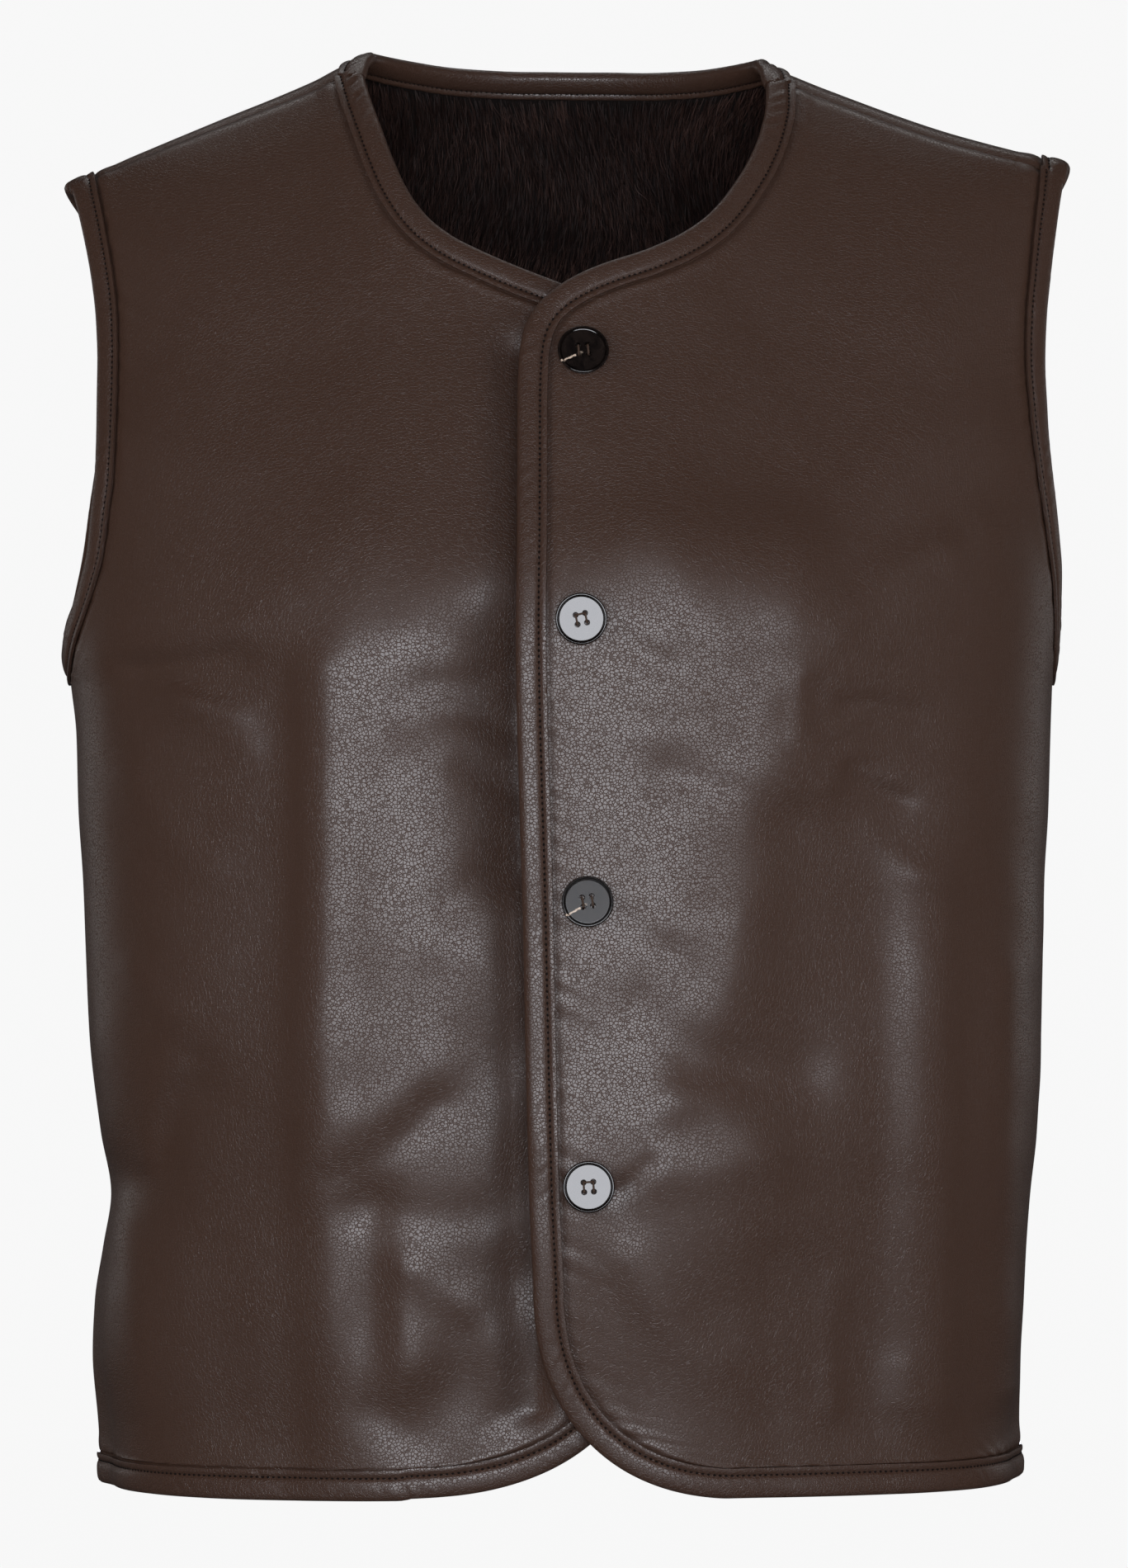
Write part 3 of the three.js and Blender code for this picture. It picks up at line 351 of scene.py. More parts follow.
# Angle of a front's inner edge at a level
def innerAngle(side, level):
    sign = signOf(side)

    def past(angle):
        point = formPoint(angle, level)
        return sign * (point[..., 0] - innerEdge(side, point[..., 2]))

    return findZero(past, np.full_like(level, -60.0 * sign), np.full_like(level, 89.9 * sign))


# Angle of a panel's outer edge at a level: the side seam, and the armhole above the armpit
def outerAngle(side, isFront, level):
    reach, widestZ, topZ = form["backArmhole"][side]

    def clear(angle):
        point = formPoint(signOf(side) * angle, level)
        if isFront:
            return armholeAt[side](point[..., 2]) - np.abs(point[..., 0])
        isUpper = point[..., 2] > widestZ
        height = np.where(isUpper, topZ - widestZ, widestZ - form["armpitZ"])
        square = np.where(isUpper, *form["backArmholeSquare"])
        across = (np.maximum(0, point[..., 1]) / reach) ** square
        return across + (np.abs(point[..., 2] - widestZ) / height) ** square - 1

    start = np.full_like(level, 20.0 if isFront else 160.0)
    found = findZero(clear, start, np.full_like(level, 90.0))
    seamStep = form["seamGap"] / 2 / form["sideRun"] * (-1 if isFront else 1)
    return signOf(side) * np.where(level <= 1, 90 + seamStep, found)


# Ends of each shoulder seam, as x on the ridge
seamEnds = {}
for side in ("right", "left"):
    neckAngle, tipAngle = form["shoulderSeam"][side]
    neckLevel, tipLevel = np.array([1 + neckAngle / 90]), np.array([1 + tipAngle / 90])
    seamEnds[side] = (
        abs(float(formPoint(innerAngle(side, neckLevel), 2.0)[0, 0])),
        abs(float(formPoint(outerAngle(side, True, tipLevel), 2.0)[0, 0])),
    )
shoulderStep = form["seamGap"] / 2 / form["shoulderRun"]


# How far up the front, as a level, the shoulder seam lies at a distance from the centre plane
def seamLevel(side, x):
    neckX, tipX = seamEnds[side]
    share = np.clip((x - neckX) / (tipX - neckX), 0, 1)
    return 1 + mix(*form["shoulderSeam"][side], share) / 90


# Rows of the grid before it is made finer, and shares of the way from armpit to shoulder
rowCounts = {"corner": 7, "body": 22, "chest": 16}
chestShares = [0, 0.01, 0.035, 0.085, 0.15, 0.22, 0.29, 0.335, 0.375, 0.415, 0.46, 0.52, 0.6, 0.69,
               0.79, 0.89, 1]


# Levels of the rows from hem to armpit, and shares of the way above it
def rowsOf(fine):
    count = rowCounts["corner"] * fine
    turn = np.radians(90 * (1 - np.arange(count) / count))
    corner = cornerShare * (1 - np.sin(turn) ** (2 / form["cornerSquare"]))
    body = mix(cornerShare, 1, np.linspace(0, 1, rowCounts["body"] * fine + 1))
    shares = curveOf([(i, share) for i, share in enumerate(chestShares)])
    steps = np.arange(1, rowCounts["chest"] * fine + 1) / fine
    return np.concatenate([corner, body]), shares(steps)


# Places across a front, closer together near its two edges
def columnsOf(count):
    t = np.linspace(0, 1, count)
    return mix(t, smoothStep(t), 0.35)


# Grid of a front as angles and levels, a row for each level, from its inner to its outer edge
def frontPlaces(side, fine, across):
    levels, shares = rowsOf(fine)
    neckAngle, tipAngle = form["shoulderSeam"][side]
    innerLevels = np.concatenate([levels, 1 + neckAngle / 90 * shares])
    outerLevels = np.concatenate([levels, 1 + tipAngle / 90 * shares])
    inner = innerAngle(side, innerLevels)[:, None]
    outer = outerAngle(side, True, outerLevels)[:, None]
    angle = mix(inner, outer, across[None, :])
    top = seamLevel(side, np.abs(formPoint(angle, 2.0)[..., 0])) - shoulderStep
    level = np.repeat(innerLevels[:, None], len(across), axis=1)
    level[len(levels):] = 1 + (top[len(levels):] - 1) * shares[:, None]
    return angle, level


# Grid of the back as angles and levels, from the wearer's left side round to the right one
def backPlaces(fine, neckColumns, shoulderColumns):
    levels, shares = rowsOf(fine)
    sideAngle = 90 + form["seamGap"] / 2 / form["sideRun"]
    halves = []
    for side in ("left", "right"):
        neckX, tipX = seamEnds[side]
        turn = np.concatenate([np.linspace(0, 1, neckColumns + 1), np.ones(shoulderColumns)])
        x = np.concatenate([
            neckX * np.sin(np.radians(90 * turn[:neckColumns + 1])),
            mix(neckX, tipX, columnsOf(shoulderColumns + 1)[1:]),
        ])

        def fromX(angle):
            return np.abs(formPoint(signOf(side) * angle, 2.0)[..., 0]) - x

        ridgeAngle = findZero(fromX, np.full_like(x, 180.0), np.full_like(x, 90.1))
        ridgeAngle[0] = 180
        share = (180 - ridgeAngle) / (180 - ridgeAngle[-1])
        topLevel = mix(1 + form["backNeckAngle"] / 90, 4 - seamLevel(side, x) - shoulderStep,
                       1 - np.cos(np.radians(90 * turn)))
        level = np.concatenate([
            np.repeat(levels[:, None], len(x), axis=1),
            1 + (topLevel[None, :] - 1) * shares[:, None],
        ])
        known = np.linspace(1.0005, 1.9999, 700)  # levels between armpit and ridge
        atKnown = np.abs(outerAngle(side, False, known))
        outer = np.where(level <= 1, sideAngle, np.interp(level, known, atKnown))
        outer = np.where(level < 2, outer, ridgeAngle[-1])
        angle = 180 - share[None, :] * (180 - outer)
        halves.append((angle, level))
    (leftAngle, leftLevel), (rightAngle, rightLevel) = halves
    angle = np.concatenate([leftAngle[:, ::-1], 360 - rightAngle[:, 1:]], axis=1)
    return angle, np.concatenate([leftLevel[:, ::-1], rightLevel[:, 1:]], axis=1)


# Walks from places on a surface in their out directions, and returns the points and normals on
# the way, as far as the binding laps over
def walkOut(surface, angle, level, out, steps=4):
    point = surface(angle, level)
    points, normals = [point], [normalOf(surface, angle, level)]
    heading = out
    for _ in range(steps):
        around, up = slopesOf(surface, angle, level)
        a, b, c = ((p * q).sum(-1) for p, q in ((around, around), (around, up), (up, up)))
        wantAround, wantUp = (heading * around).sum(-1), (heading * up).sum(-1)
        step = form["bindingLap"] / steps / (a * c - b * b)
        angle = angle + (c * wantAround - b * wantUp) * step
        level = level + (a * wantUp - b * wantAround) * step
        moved = surface(angle, level)
        heading = unit(moved - point)
        point = moved
        points.append(point)
        normals.append(normalOf(surface, angle, level))
    return np.array(points), np.array(normals)


# Stations from the fold line to the raw edge along a path that has the cloth on its left
def boundStations(surface, angle, level, before, after):
    point = surface(angle, level)
    ends = np.concatenate([before[None], point, after[None]])
    along = unit(ends[2:] - ends[:-2])
    out = unit(np.cross(along, normalOf(surface, angle, level)))
    return walkOut(surface, angle, level, out)


# Faces of a grid of rows and columns, as corner numbers
def gridFaces(rows, columns, start=0, wrapRows=False, wrapColumns=False):
    j = np.arange(rows if wrapRows else rows - 1)[:, None]
    i = np.arange(columns if wrapColumns else columns - 1)[None, :]
    nextJ, nextI = (j + 1) % rows, (i + 1) % columns
    corners = [j * columns + i, j * columns + nextI, nextJ * columns + nextI, nextJ * columns + i]
    return start + np.stack(np.broadcast_arrays(*corners), axis=-1).reshape(-1, 4)


def addPiece(name, points, faces, materials, faceMaterials=None, sharpAngle=50):
    mesh = bpy.data.meshes.new(name)
    mesh.from_pydata((np.asarray(points) * millimetre).tolist(), [], [list(face) for face in faces])
    for material in materials:
        mesh.materials.append(material)
    if faceMaterials is not None:
        mesh.polygons.foreach_set("material_index", np.asarray(faceMaterials, np.int32))
    shadeSmooth(mesh, sharpAngle)
    mesh.update()
    piece = bpy.data.objects.new(name, mesh)
    bpy.context.collection.objects.link(piece)
    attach(piece, "root")
    return piece


def shadeSmooth(mesh, sharpAngle):
    mesh.polygons.foreach_set("use_smooth", np.ones(len(mesh.polygons), bool))
    mesh.set_sharp_from_angle(angle=math.radians(sharpAngle))


# A value is set on its socket, and another node's output is linked to it
def setSockets(node, sockets):
    for name, value in sockets.items():
        if isinstance(value, bpy.types.NodeSocket):
            node.id_data.links.new(value, node.inputs[name])
        else:
            node.inputs[name].default_value = value
    return node


def addNode(material, kind, sockets, **settings):
    node = material.node_tree.nodes.new("ShaderNode" + kind)
    for name, value in settings.items():
        setattr(node, name, value)
    return setSockets(node, sockets)


def newMaterial(name, sockets):
    material = bpy.data.materials.new(name)
    material.use_nodes = True
    return material, setSockets(material.node_tree.nodes["Principled BSDF"], sockets)


def plainMaterial(name, colour, roughness):
    sockets = {"Base Color": (*colour, 1), "Roughness": roughness, "Specular IOR Level": 0.15}
    return newMaterial(name, sockets)[0]


# A ramp through two tones, given as place and colour
def addRamp(material, factor, tones):
    ramp = addNode(material, "ValToRGB", {"Fac": factor})
    for element, (place, colour) in zip(ramp.color_ramp.elements, tones):
        element.position, element.color = place, (*colour, 1)
    return ramp.outputs["Color"]


leather = {
    "colour": (0.0350, 0.0176, 0.0114), "bindingColour": (0.0335, 0.0166, 0.0107),
    "refraction": 1.5,
    "roughness": (0.315, 0.365), "grooveRoughness": 0.58,
    "patchScale": 45, "patchRange": (0.3, 0.7),  # of the slow change in gloss
    "pebbleSize": 1.3, "pebbleDepth": 0.062, "pebbleGroove": 0.14,
    "wrinkleSize": 7.0, "wrinkleDepth": 0.02, "wrinkleGroove": 0.09, "wrinkleStrength": 0.6,
    "wander": 0.6, "wanderScale": 260,  # how far the grain strays from straight cells
}


def leatherMaterial(name, colour):
    s = leather
    material, shader = newMaterial(name, {"Base Color": (*colour, 1), "IOR": s["refraction"]})
    place = addNode(material, "TexCoord", {}).outputs["Object"]
    wander = addNode(material, "TexNoise", {"Vector": place, "Scale": s["wanderScale"], "Detail": 2})
    reach = 3 * (s["wander"] * millimetre,)
    strayed = addNode(material, "VectorMath", {0: wander.outputs["Color"], 1: reach, 2: place},
                      operation="MULTIPLY_ADD").outputs["Vector"]

    def cells(size):
        sockets = {"Vector": strayed, "Scale": 1 / (size * millimetre)}
        return addNode(material, "TexVoronoi", sockets, feature="DISTANCE_TO_EDGE").outputs["Distance"]

    wrinkles = {"Value": cells(s["wrinkleSize"]), "From Max": s["wrinkleGroove"]}
    pebbles = {"Value": cells(s["pebbleSize"]), "From Max": s["pebbleGroove"]}
    line = addNode(material, "MapRange", wrinkles).outputs["Result"]
    dome = addNode(material, "MapRange", pebbles, interpolation_type="SMOOTHERSTEP").outputs["Result"]
    coarse = addNode(material, "Bump", {
        "Height": line, "Strength": s["wrinkleStrength"], "Distance": s["wrinkleDepth"] * millimetre})
    fine = addNode(material, "Bump", {
        "Height": dome, "Strength": 1.0, "Distance": s["pebbleDepth"] * millimetre,
        "Normal": coarse.outputs["Normal"]})
    patches = addNode(material, "TexNoise", {"Vector": place, "Scale": s["patchScale"], "Detail": 4})
    gloss = addNode(material, "MapRange", {
        "Value": patches.outputs["Fac"],
        "From Min": s["patchRange"][0], "From Max": s["patchRange"][1],
        "To Min": s["roughness"][0], "To Max": s["roughness"][1]})
    grooved = addNode(material, "Mix", {
        "Factor": dome, "A": s["grooveRoughness"], "B": gloss.outputs["Result"]})
    setSockets(shader, {"Normal": fine.outputs["Normal"], "Roughness": grooved.outputs["Result"]})
    return material


panelLeather = leatherMaterial("grainedLeather", leather["colour"])
bindingLeather = leatherMaterial("bindingLeather", leather["bindingColour"])
furGround = plainMaterial("furGround", (0.006, 0.004, 0.0035), 0.9)
print("leather made")

cloth = {
    "thickness": 2.4, "fine": 6, "across": 84, "neckColumns": 30, "shoulderColumns": 46,
    # width and length of the flat cut and its area, in metres
    "cut": {"left": (0.30, 0.60, 0.139), "right": (0.31, 0.60, 0.147), "back": (0.49, 0.60, 0.276)},
}
seamRelief = {"dip": 0.75, "dipWidth": 1.5, "puff": 0.35, "puffAt": 6.0, "puffWidth": 4.0}
boundRelief = {"dip": 0.55, "dipWidth": 1.3, "puff": 0.3, "puffAt": 4.5, "puffWidth": 3.2}
edgeRelief = {
    "pucker": 0.22, "slant": 0.5, "reach": 9.0, "longest": 19.0, "shortest": 7.0, "waves": 7,
    "seeds": {"first": 5, "last": 6, "armhole": 7, "edge": 8, "top": 9, "hem": 10},
    "far": 30, "hemRatio": 2.2,  # the fur counts as clear of an edge, and keeps further from the hem
}


# Distance along each row from a column, and along each column from a row
def runFrom(points, axis, fromEnd):
    lengths = np.linalg.norm(np.diff(points, axis=axis), axis=-1)
    if fromEnd:
        lengths = np.flip(lengths, axis)
    run = np.cumsum(lengths, axis=axis)
    shape = list(run.shape)
    shape[axis] = 1
    run = np.concatenate([np.zeros(shape), run], axis=axis)
    return np.flip(run, axis) if fromEnd else run


def seamHeight(distance, s=seamRelief):
    return (-s["dip"] * np.exp(-((distance / s["dipWidth"]) ** 2))
            + s["puff"] * np.exp(-(((distance - s["puffAt"]) / s["puffWidth"]) ** 2)))


# Uneven waves along an edge, the same for each seed
def edgeWave(run, seed):
    rng = np.random.default_rng(seed)
    wave = np.zeros_like(run)
    for _ in range(edgeRelief["waves"]):
        length = rng.uniform(edgeRelief["shortest"], edgeRelief["longest"])
        wave += np.sin(2 * math.pi * run / length + rng.uniform(0, 2 * math.pi))
    return wave / edgeRelief["waves"]**0.5


def puckerHeight(distance, run, seed):
    e = edgeRelief
    wave = edgeWave(run + e["slant"] * distance, seed)
    pucker = e["pucker"] * wave * np.exp(-distance / e["reach"])
    return pucker + seamHeight(distance, boundRelief)


# A closed shell from an outer face and its normals
def thicken(points, normals, faces, thickness):
    count = len(points)
    inner = points - normals * thickness
    edges = np.concatenate([faces[:, [k, (k + 1) % 4]] for k in range(4)])
    keys, reverse = edges[:, 0] * count + edges[:, 1], edges[:, 1] * count + edges[:, 0]
    border = edges[~np.isin(keys, reverse)]
    rims = np.stack([border[:, 1], border[:, 0], border[:, 0] + count, border[:, 1] + count], axis=1)
    back = faces[:, ::-1] + count
    kinds = np.concatenate([np.zeros(len(faces)), np.ones(len(back)), np.zeros(len(rims))])
    return np.concatenate([points, inner]), np.concatenate([faces, back, rims]), kinds


def gridNormals(points):
    around = np.gradient(points, axis=1)
    up = np.gradient(points, axis=0)
    return unit(np.cross(around, up))


# A panel from its grid of places and the paths along its bound edges, as rows and columns
def panelShell(side, angle, level, paths, extraHeight):
    surface = surfaces[side]
    points = surface(angle, level)
    normals = gridNormals(points)
    points = points + normals * extraHeight[..., None]
    rows, columns = angle.shape
    allPoints, allNormals = [points.reshape(-1, 3)], [normals.reshape(-1, 3)]
    faces = [gridFaces(rows, columns)]
    count = rows * columns
    for pathRows, pathColumns, before, after in paths:
        stations, stationNormals = boundStations(
            surface, angle[pathRows, pathColumns], level[pathRows, pathColumns], before, after)
        inPath = pathRows * columns + pathColumns
        strip = np.concatenate([inPath[None], count + np.arange(2 * len(inPath)).reshape(2, -1)])
        allPoints.append(stations[[2, 4]].reshape(-1, 3))
        allNormals.append(stationNormals[[2, 4]].reshape(-1, 3))
        count += 2 * len(inPath)
        quads = np.stack([strip[:-1, :-1], strip[1:, :-1], strip[1:, 1:], strip[:-1, 1:]], axis=-1)
        faces.append(quads.reshape(-1, 4))
    shell = thicken(np.concatenate(allPoints), np.concatenate(allNormals), np.concatenate(faces),
                    cloth["thickness"])
    return shell, points, normals


armpitRow = (rowCounts["corner"] + rowCounts["body"]) * cloth["fine"]
topRow = armpitRow + rowCounts["chest"] * cloth["fine"]
across = columnsOf(cloth["across"])
places = {
    "left": frontPlaces("left", cloth["fine"], across),
    "right": tuple(a[:, ::-1] for a in frontPlaces("right", cloth["fine"], across)),
    "back": backPlaces(cloth["fine"], cloth["neckColumns"], cloth["shoulderColumns"]),
}
lastFront = cloth["across"] - 1
lastBack = places["back"][0].shape[1] - 1
neckLeft = cloth["shoulderColumns"]
neckRight = lastBack - cloth["shoulderColumns"]
upFront = np.arange(topRow + 1)
upArm = np.arange(armpitRow, topRow + 1)


def fixed(values, like):
    return np.full(len(like), values)


# Bound edges as rows and columns of each grid, each with the cloth on its left
paths = {
    "leftEdge": ("left", np.concatenate([upFront[::-1], np.zeros(lastFront, int)]),
                 np.concatenate([fixed(0, upFront), np.arange(1, lastFront + 1)])),
    "rightEdge": ("right", np.concatenate([np.zeros(lastFront, int), upFront]),
                  np.concatenate([np.arange(lastFront), fixed(lastFront, upFront)])),
    "backHem": ("back", np.zeros(lastBack + 1, int), np.arange(lastBack + 1)),
    "backNeck": ("back", fixed(topRow, range(neckLeft, neckRight + 1)),
                 np.arange(neckLeft, neckRight + 1)[::-1]),
    "leftArm": ("left", upArm, fixed(lastFront, upArm)),
    "rightArm": ("right", upArm[::-1], fixed(0, upArm)),
    "backLeftArm": ("back", upArm[::-1], fixed(0, upArm)),
    "backRightArm": ("back", upArm, fixed(lastBack, upArm)),
}
# Which path comes before and after each
joins = {
    "leftEdge": ("backNeck", "backHem"), "rightEdge": ("backHem", "backNeck"),
    "backHem": ("leftEdge", "rightEdge"), "backNeck": ("rightEdge", "leftEdge"),
    "leftArm": ("backLeftArm", "backLeftArm"), "rightArm": ("backRightArm", "backRightArm"),
    "backLeftArm": ("leftArm", "leftArm"), "backRightArm": ("rightArm", "rightArm"),
}


def placeInPath(name, index):
    side, rows, columns = paths[name]
    angle, level = places[side]
    return surfaces[side](angle[rows[index], columns[index]], level[rows[index], columns[index]])


def pathOf(name):
    before, after = joins[name]
    _, rows, columns = paths[name]
    return rows, columns, placeInPath(before, -2), placeInPath(after, 1)


# Relief of a panel along its seams and bound edges, and how far its places are from a bound edge
def edgesOf(side, points):
    toTop, toHem = runFrom(points, 0, True), runFrom(points, 0, False)
    toFirst, toLast = runFrom(points, 1, False), runFrom(points, 1, True)
    isBody = (np.arange(topRow + 1) <= armpitRow)[:, None]
    upRun, aroundRun = toHem[:, :1] + 0 * toHem, toFirst[armpitRow][None, :] + 0 * toHem
    isSeamTop = np.ones(points.shape[1], bool)
    seed, far = edgeRelief["seeds"], edgeRelief["far"]
    if side == "back":
        isSeamTop[neckLeft:neckRight + 1] = False
        armholes = puckerHeight(toFirst, upRun, seed["first"]) + puckerHeight(toLast, upRun, seed["last"])
        relief = np.where(isBody, seamHeight(toFirst) + seamHeight(toLast), 0)
        relief += np.where(isBody, 0, armholes)
        toBound = np.where(isBody, far, np.minimum(toFirst, toLast))
    else:
        toSeam, toEdge = (toLast, toFirst) if side == "left" else (toFirst, toLast)
        relief = np.where(isBody, seamHeight(toSeam), puckerHeight(toSeam, upRun, seed["armhole"]))
        relief += puckerHeight(toEdge, upRun, seed["edge"])
        toBound = np.where(isBody, toEdge, np.minimum(toFirst, toLast))
    relief += np.where(isSeamTop, seamHeight(toTop), puckerHeight(toTop, aroundRun, seed["top"]))
    relief += puckerHeight(toHem, aroundRun, seed["hem"])
    toBound = np.minimum(toBound, np.minimum(toHem / edgeRelief["hemRatio"], far))
    toBound = np.minimum(toBound, np.where(isSeamTop, far, toTop))
    print(f"{side}: {aroundRun[0].max():.0f} mm round, {toHem.max():.0f} mm long")
    return relief, toBound


panels = {}
for side, names in (("left", ("leftEdge", "leftArm")), ("right", ("rightEdge", "rightArm")),
                    ("back", ("backHem", "backNeck", "backLeftArm", "backRightArm"))):
    angle, level = places[side]
    relief, toBound = edgesOf(side, surfaces[side](angle, level))
    (points, faces, kinds), outer, outerNormals = panelShell(
        side, angle, level, [pathOf(name) for name in names], relief)
    name = "back" if side == "back" else f"front_{side}"
    piece = addPiece(f"leather_{name}", points, faces, [panelLeather, furGround], kinds)
    panels[side] = {"points": outer, "normals": outerNormals, "toBound": toBound}
    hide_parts(name)
    print(f"panel {name}: {len(faces)} faces")

# A strip folded over the raw edges: how far in from the raw edge, and how far out of the cloth
binding = {
    "section": [
        (10.4, 0.10), (10.66, 0.4), (10.66, 0.95), (10.4, 1.28), (9.7, 1.38), (8.9, 1.3), (8.3, 1.08),
        (7.85, 0.82), (7.5, 0.72), (7.15, 0.86), (6.75, 1.16), (6.1, 1.42), (4.9, 1.6), (3.4, 1.68),
        (1.9, 1.66), (0.5, 1.5), (-0.6, 1.12), (-1.35, 0.3), (-1.6, -1.0), (-1.35, -2.4), (-0.5, -3.3),
        (0.7, -3.95), (2.4, -4.35), (4.6, -4.45), (6.3, -4.2), (7.0, -3.8), (7.5, -3.45), (8.0, -3.75),
        (8.8, -4.05), (9.8, -4.1), (10.4, -3.6), (10.4, -2.9), (5.0, -2.9), (0.2, -2.7),
        (-0.35, -1.3), (0.2, 0.02), (5.0, 0.1),
    ],
    "middle": -1.3,  # height at which the outside turns into the inside
    "lining": (-2.95, 0.11),  # heights between which the strip lies on the cloth
    "flatWidth": 0.028,  # of the strip, in metres
    "pitch": 2.3, "stitchAt": 7.5, "stitchHeight": (0.78, -3.45),  # of a stitch, outside and inside
    "pull": 0.42, "pullWidth": 0.6,  # how deep the needle pulls the strip in
    "pucker": 0.14, "puckerAt": 3.2, "puckerRate": 2.1, "puckerSlant": 0.8,
    "uneven": (0.4, 1.0), "unevenRun": 5,  # how the puckers come and go along the strip
    "neckPucker": 0.42, "neckReach": 32,
    "sway": 0.12, "swayFrom": 9,  # how far the stitched-down edge wanders
    # the strip's slanting join in the hem, looked for among its first stations
    "join": {"name": "right", "x": -115.0, "slant": -1.5, "from": 5, "depth": 0.4, "width": 1.1,
             "among": 200},
}


# Positions across a binding at distances in from the raw edge and heights out of the cloth
def acrossBinding(stations, normals, distance, height):
    lap = form["bindingLap"]
    steps = len(stations) - 1
    at = np.clip((lap - distance) / lap * steps, 0, steps)
    k = np.minimum(at.astype(int), steps - 1)
    share = (at - k)[..., None]
    index = np.arange(stations.shape[1])
    base = mix(stations[k, index], stations[k + 1, index], share)
    normal = unit(mix(normals[k, index], normals[k + 1, index], share))
    inward = unit(stations[-2] - stations[-1])
    return base + inward * np.minimum(0, distance)[..., None] + normal * height[..., None]


# Reads a path's values at new places along it, and evens out its small corners
def smoothRead(at, run, values):
    dense = np.linspace(0, run[-1], max(8, int(run[-1] / 0.5)))  # every half millimetre
    read = np.interp(dense, run, values)
    kernel = np.hanning(13)[1:-1]
    kernel /= kernel.sum()
    padded = np.concatenate([2 * read[0] - read[5:0:-1], read, 2 * read[-1] - read[-2:-7:-1]])
    return np.interp(at, dense, np.convolve(padded, kernel, mode="valid"))


# Stations along one or two joined paths at even steps of half a stitch
def stationsOf(names):
    allStations, allNormals, runs = [], [], []
    start = 0
    for name in names:
        side, rows, columns = paths[name]
        angle, level = places[side][0][rows, columns], places[side][1][rows, columns]
        steps = np.linalg.norm(np.diff(surfaces[side](angle, level), axis=0), axis=1)
        run = np.concatenate([[0], np.cumsum(steps)])
        at = np.linspace(0, run[-1], 2 * round(run[-1] / binding["pitch"]) + 1)
        before, after = joins[name]
        stations, normals = boundStations(
            surfaces[side], smoothRead(at, run, angle), smoothRead(at, run, level),
            placeInPath(before, -2), placeInPath(after, 1))
        allStations.append(stations)
        allNormals.append(normals)
        runs.append(at + start)
        start += at[-1]
    return np.concatenate(allStations, 1), np.concatenate(allNormals, 1), np.concatenate(runs)


# Faces of a tube of rings, with a cap on each open end
def tubeFaces(frames, sides, start=0, isClosed=False):
    faces = gridFaces(frames, sides, start, wrapRows=isClosed, wrapColumns=True)[:, ::-1].tolist()
    if not isClosed:
        faces.append([start + s for s in range(sides)])
        faces.append([start + (frames - 1) * sides + s for s in reversed(range(sides))])
    return faces


def addBinding(name, stations, normals, run, isClosed, seed, neckEnds):
    wave = edgeWave(run, seed)
    comeAndGo = mix(*binding["uneven"], edgeWave(run / binding["unevenRun"], seed + 90))
    amount = binding["pucker"] * smoothStep(comeAndGo)
    for end in neckEnds:  # stronger towards the shoulder seams
        amount += binding["neckPucker"] * np.exp(-(((run - end * run[-1]) / binding["neckReach"]) ** 2))
    needle = 1 - np.arange(len(run)) % 2  # 1 where the needle went in
    join = binding["join"]
    joinRun = run[np.argmin(np.abs(stations[-1][:join["among"], 0] - join["x"]))]
    lowest, highest = binding["lining"]
    rings = []
    for distance, height in binding["section"]:
        face = 1 if height > binding["middle"] else -1
        puffy = math.exp(-(((distance - binding["puckerAt"]) / binding["puckerAt"]) ** 2)) * face
        slanted = (run + binding["puckerSlant"] * distance) * binding["puckerRate"]
        lift = amount * edgeWave(slanted, seed + 50) * puffy
        atStitch = math.exp(-(((distance - binding["stitchAt"]) / binding["pullWidth"]) ** 2))
        pull = binding["pull"] * needle * atStitch
        if name == join["name"]:
            besideJoin = run - joinRun - join["slant"] * (distance - join["from"])
            pull = pull + join["depth"] * np.exp(-((besideJoin / join["width"]) ** 2))
        lift = lift - pull * face
        isLining = 0 <= distance < form["bindingLap"] and lowest < height < highest
        shift = binding["sway"] * wave * (distance > binding["swayFrom"])
        lift = np.zeros_like(run) if isLining else lift
        rings.append(acrossBinding(stations, normals, distance + shift, height + lift))
    points = np.array(rings[::-1]).transpose(1, 0, 2)  # this way round its faces look outwards
    faces = tubeFaces(*points.shape[:2], isClosed=isClosed)
    piece = addPiece(f"bound_{name}", points.reshape(-1, 3), faces, [bindingLeather])
    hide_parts(f"binding_{name}")
    print(f"binding {name}: {run[-1]:.0f} mm long, {len(faces)} faces")


# Stitches as short tubes that dip in at both ends, one piece for each binding
stitches = {
    "length": 0.5,  # as a share of the pitch
    "radius": 0.44, "sides": 5, "sunk": 0.3, "rise": 0.12,
    "rings": [(0.0, 0.4), (0.3, 1.0), (0.7, 1.0), (1.0, 0.4)],  # share of the length, of the radius
}
stitchThread = plainMaterial("stitchThread", (0.0045, 0.0028, 0.0024), 0.8)


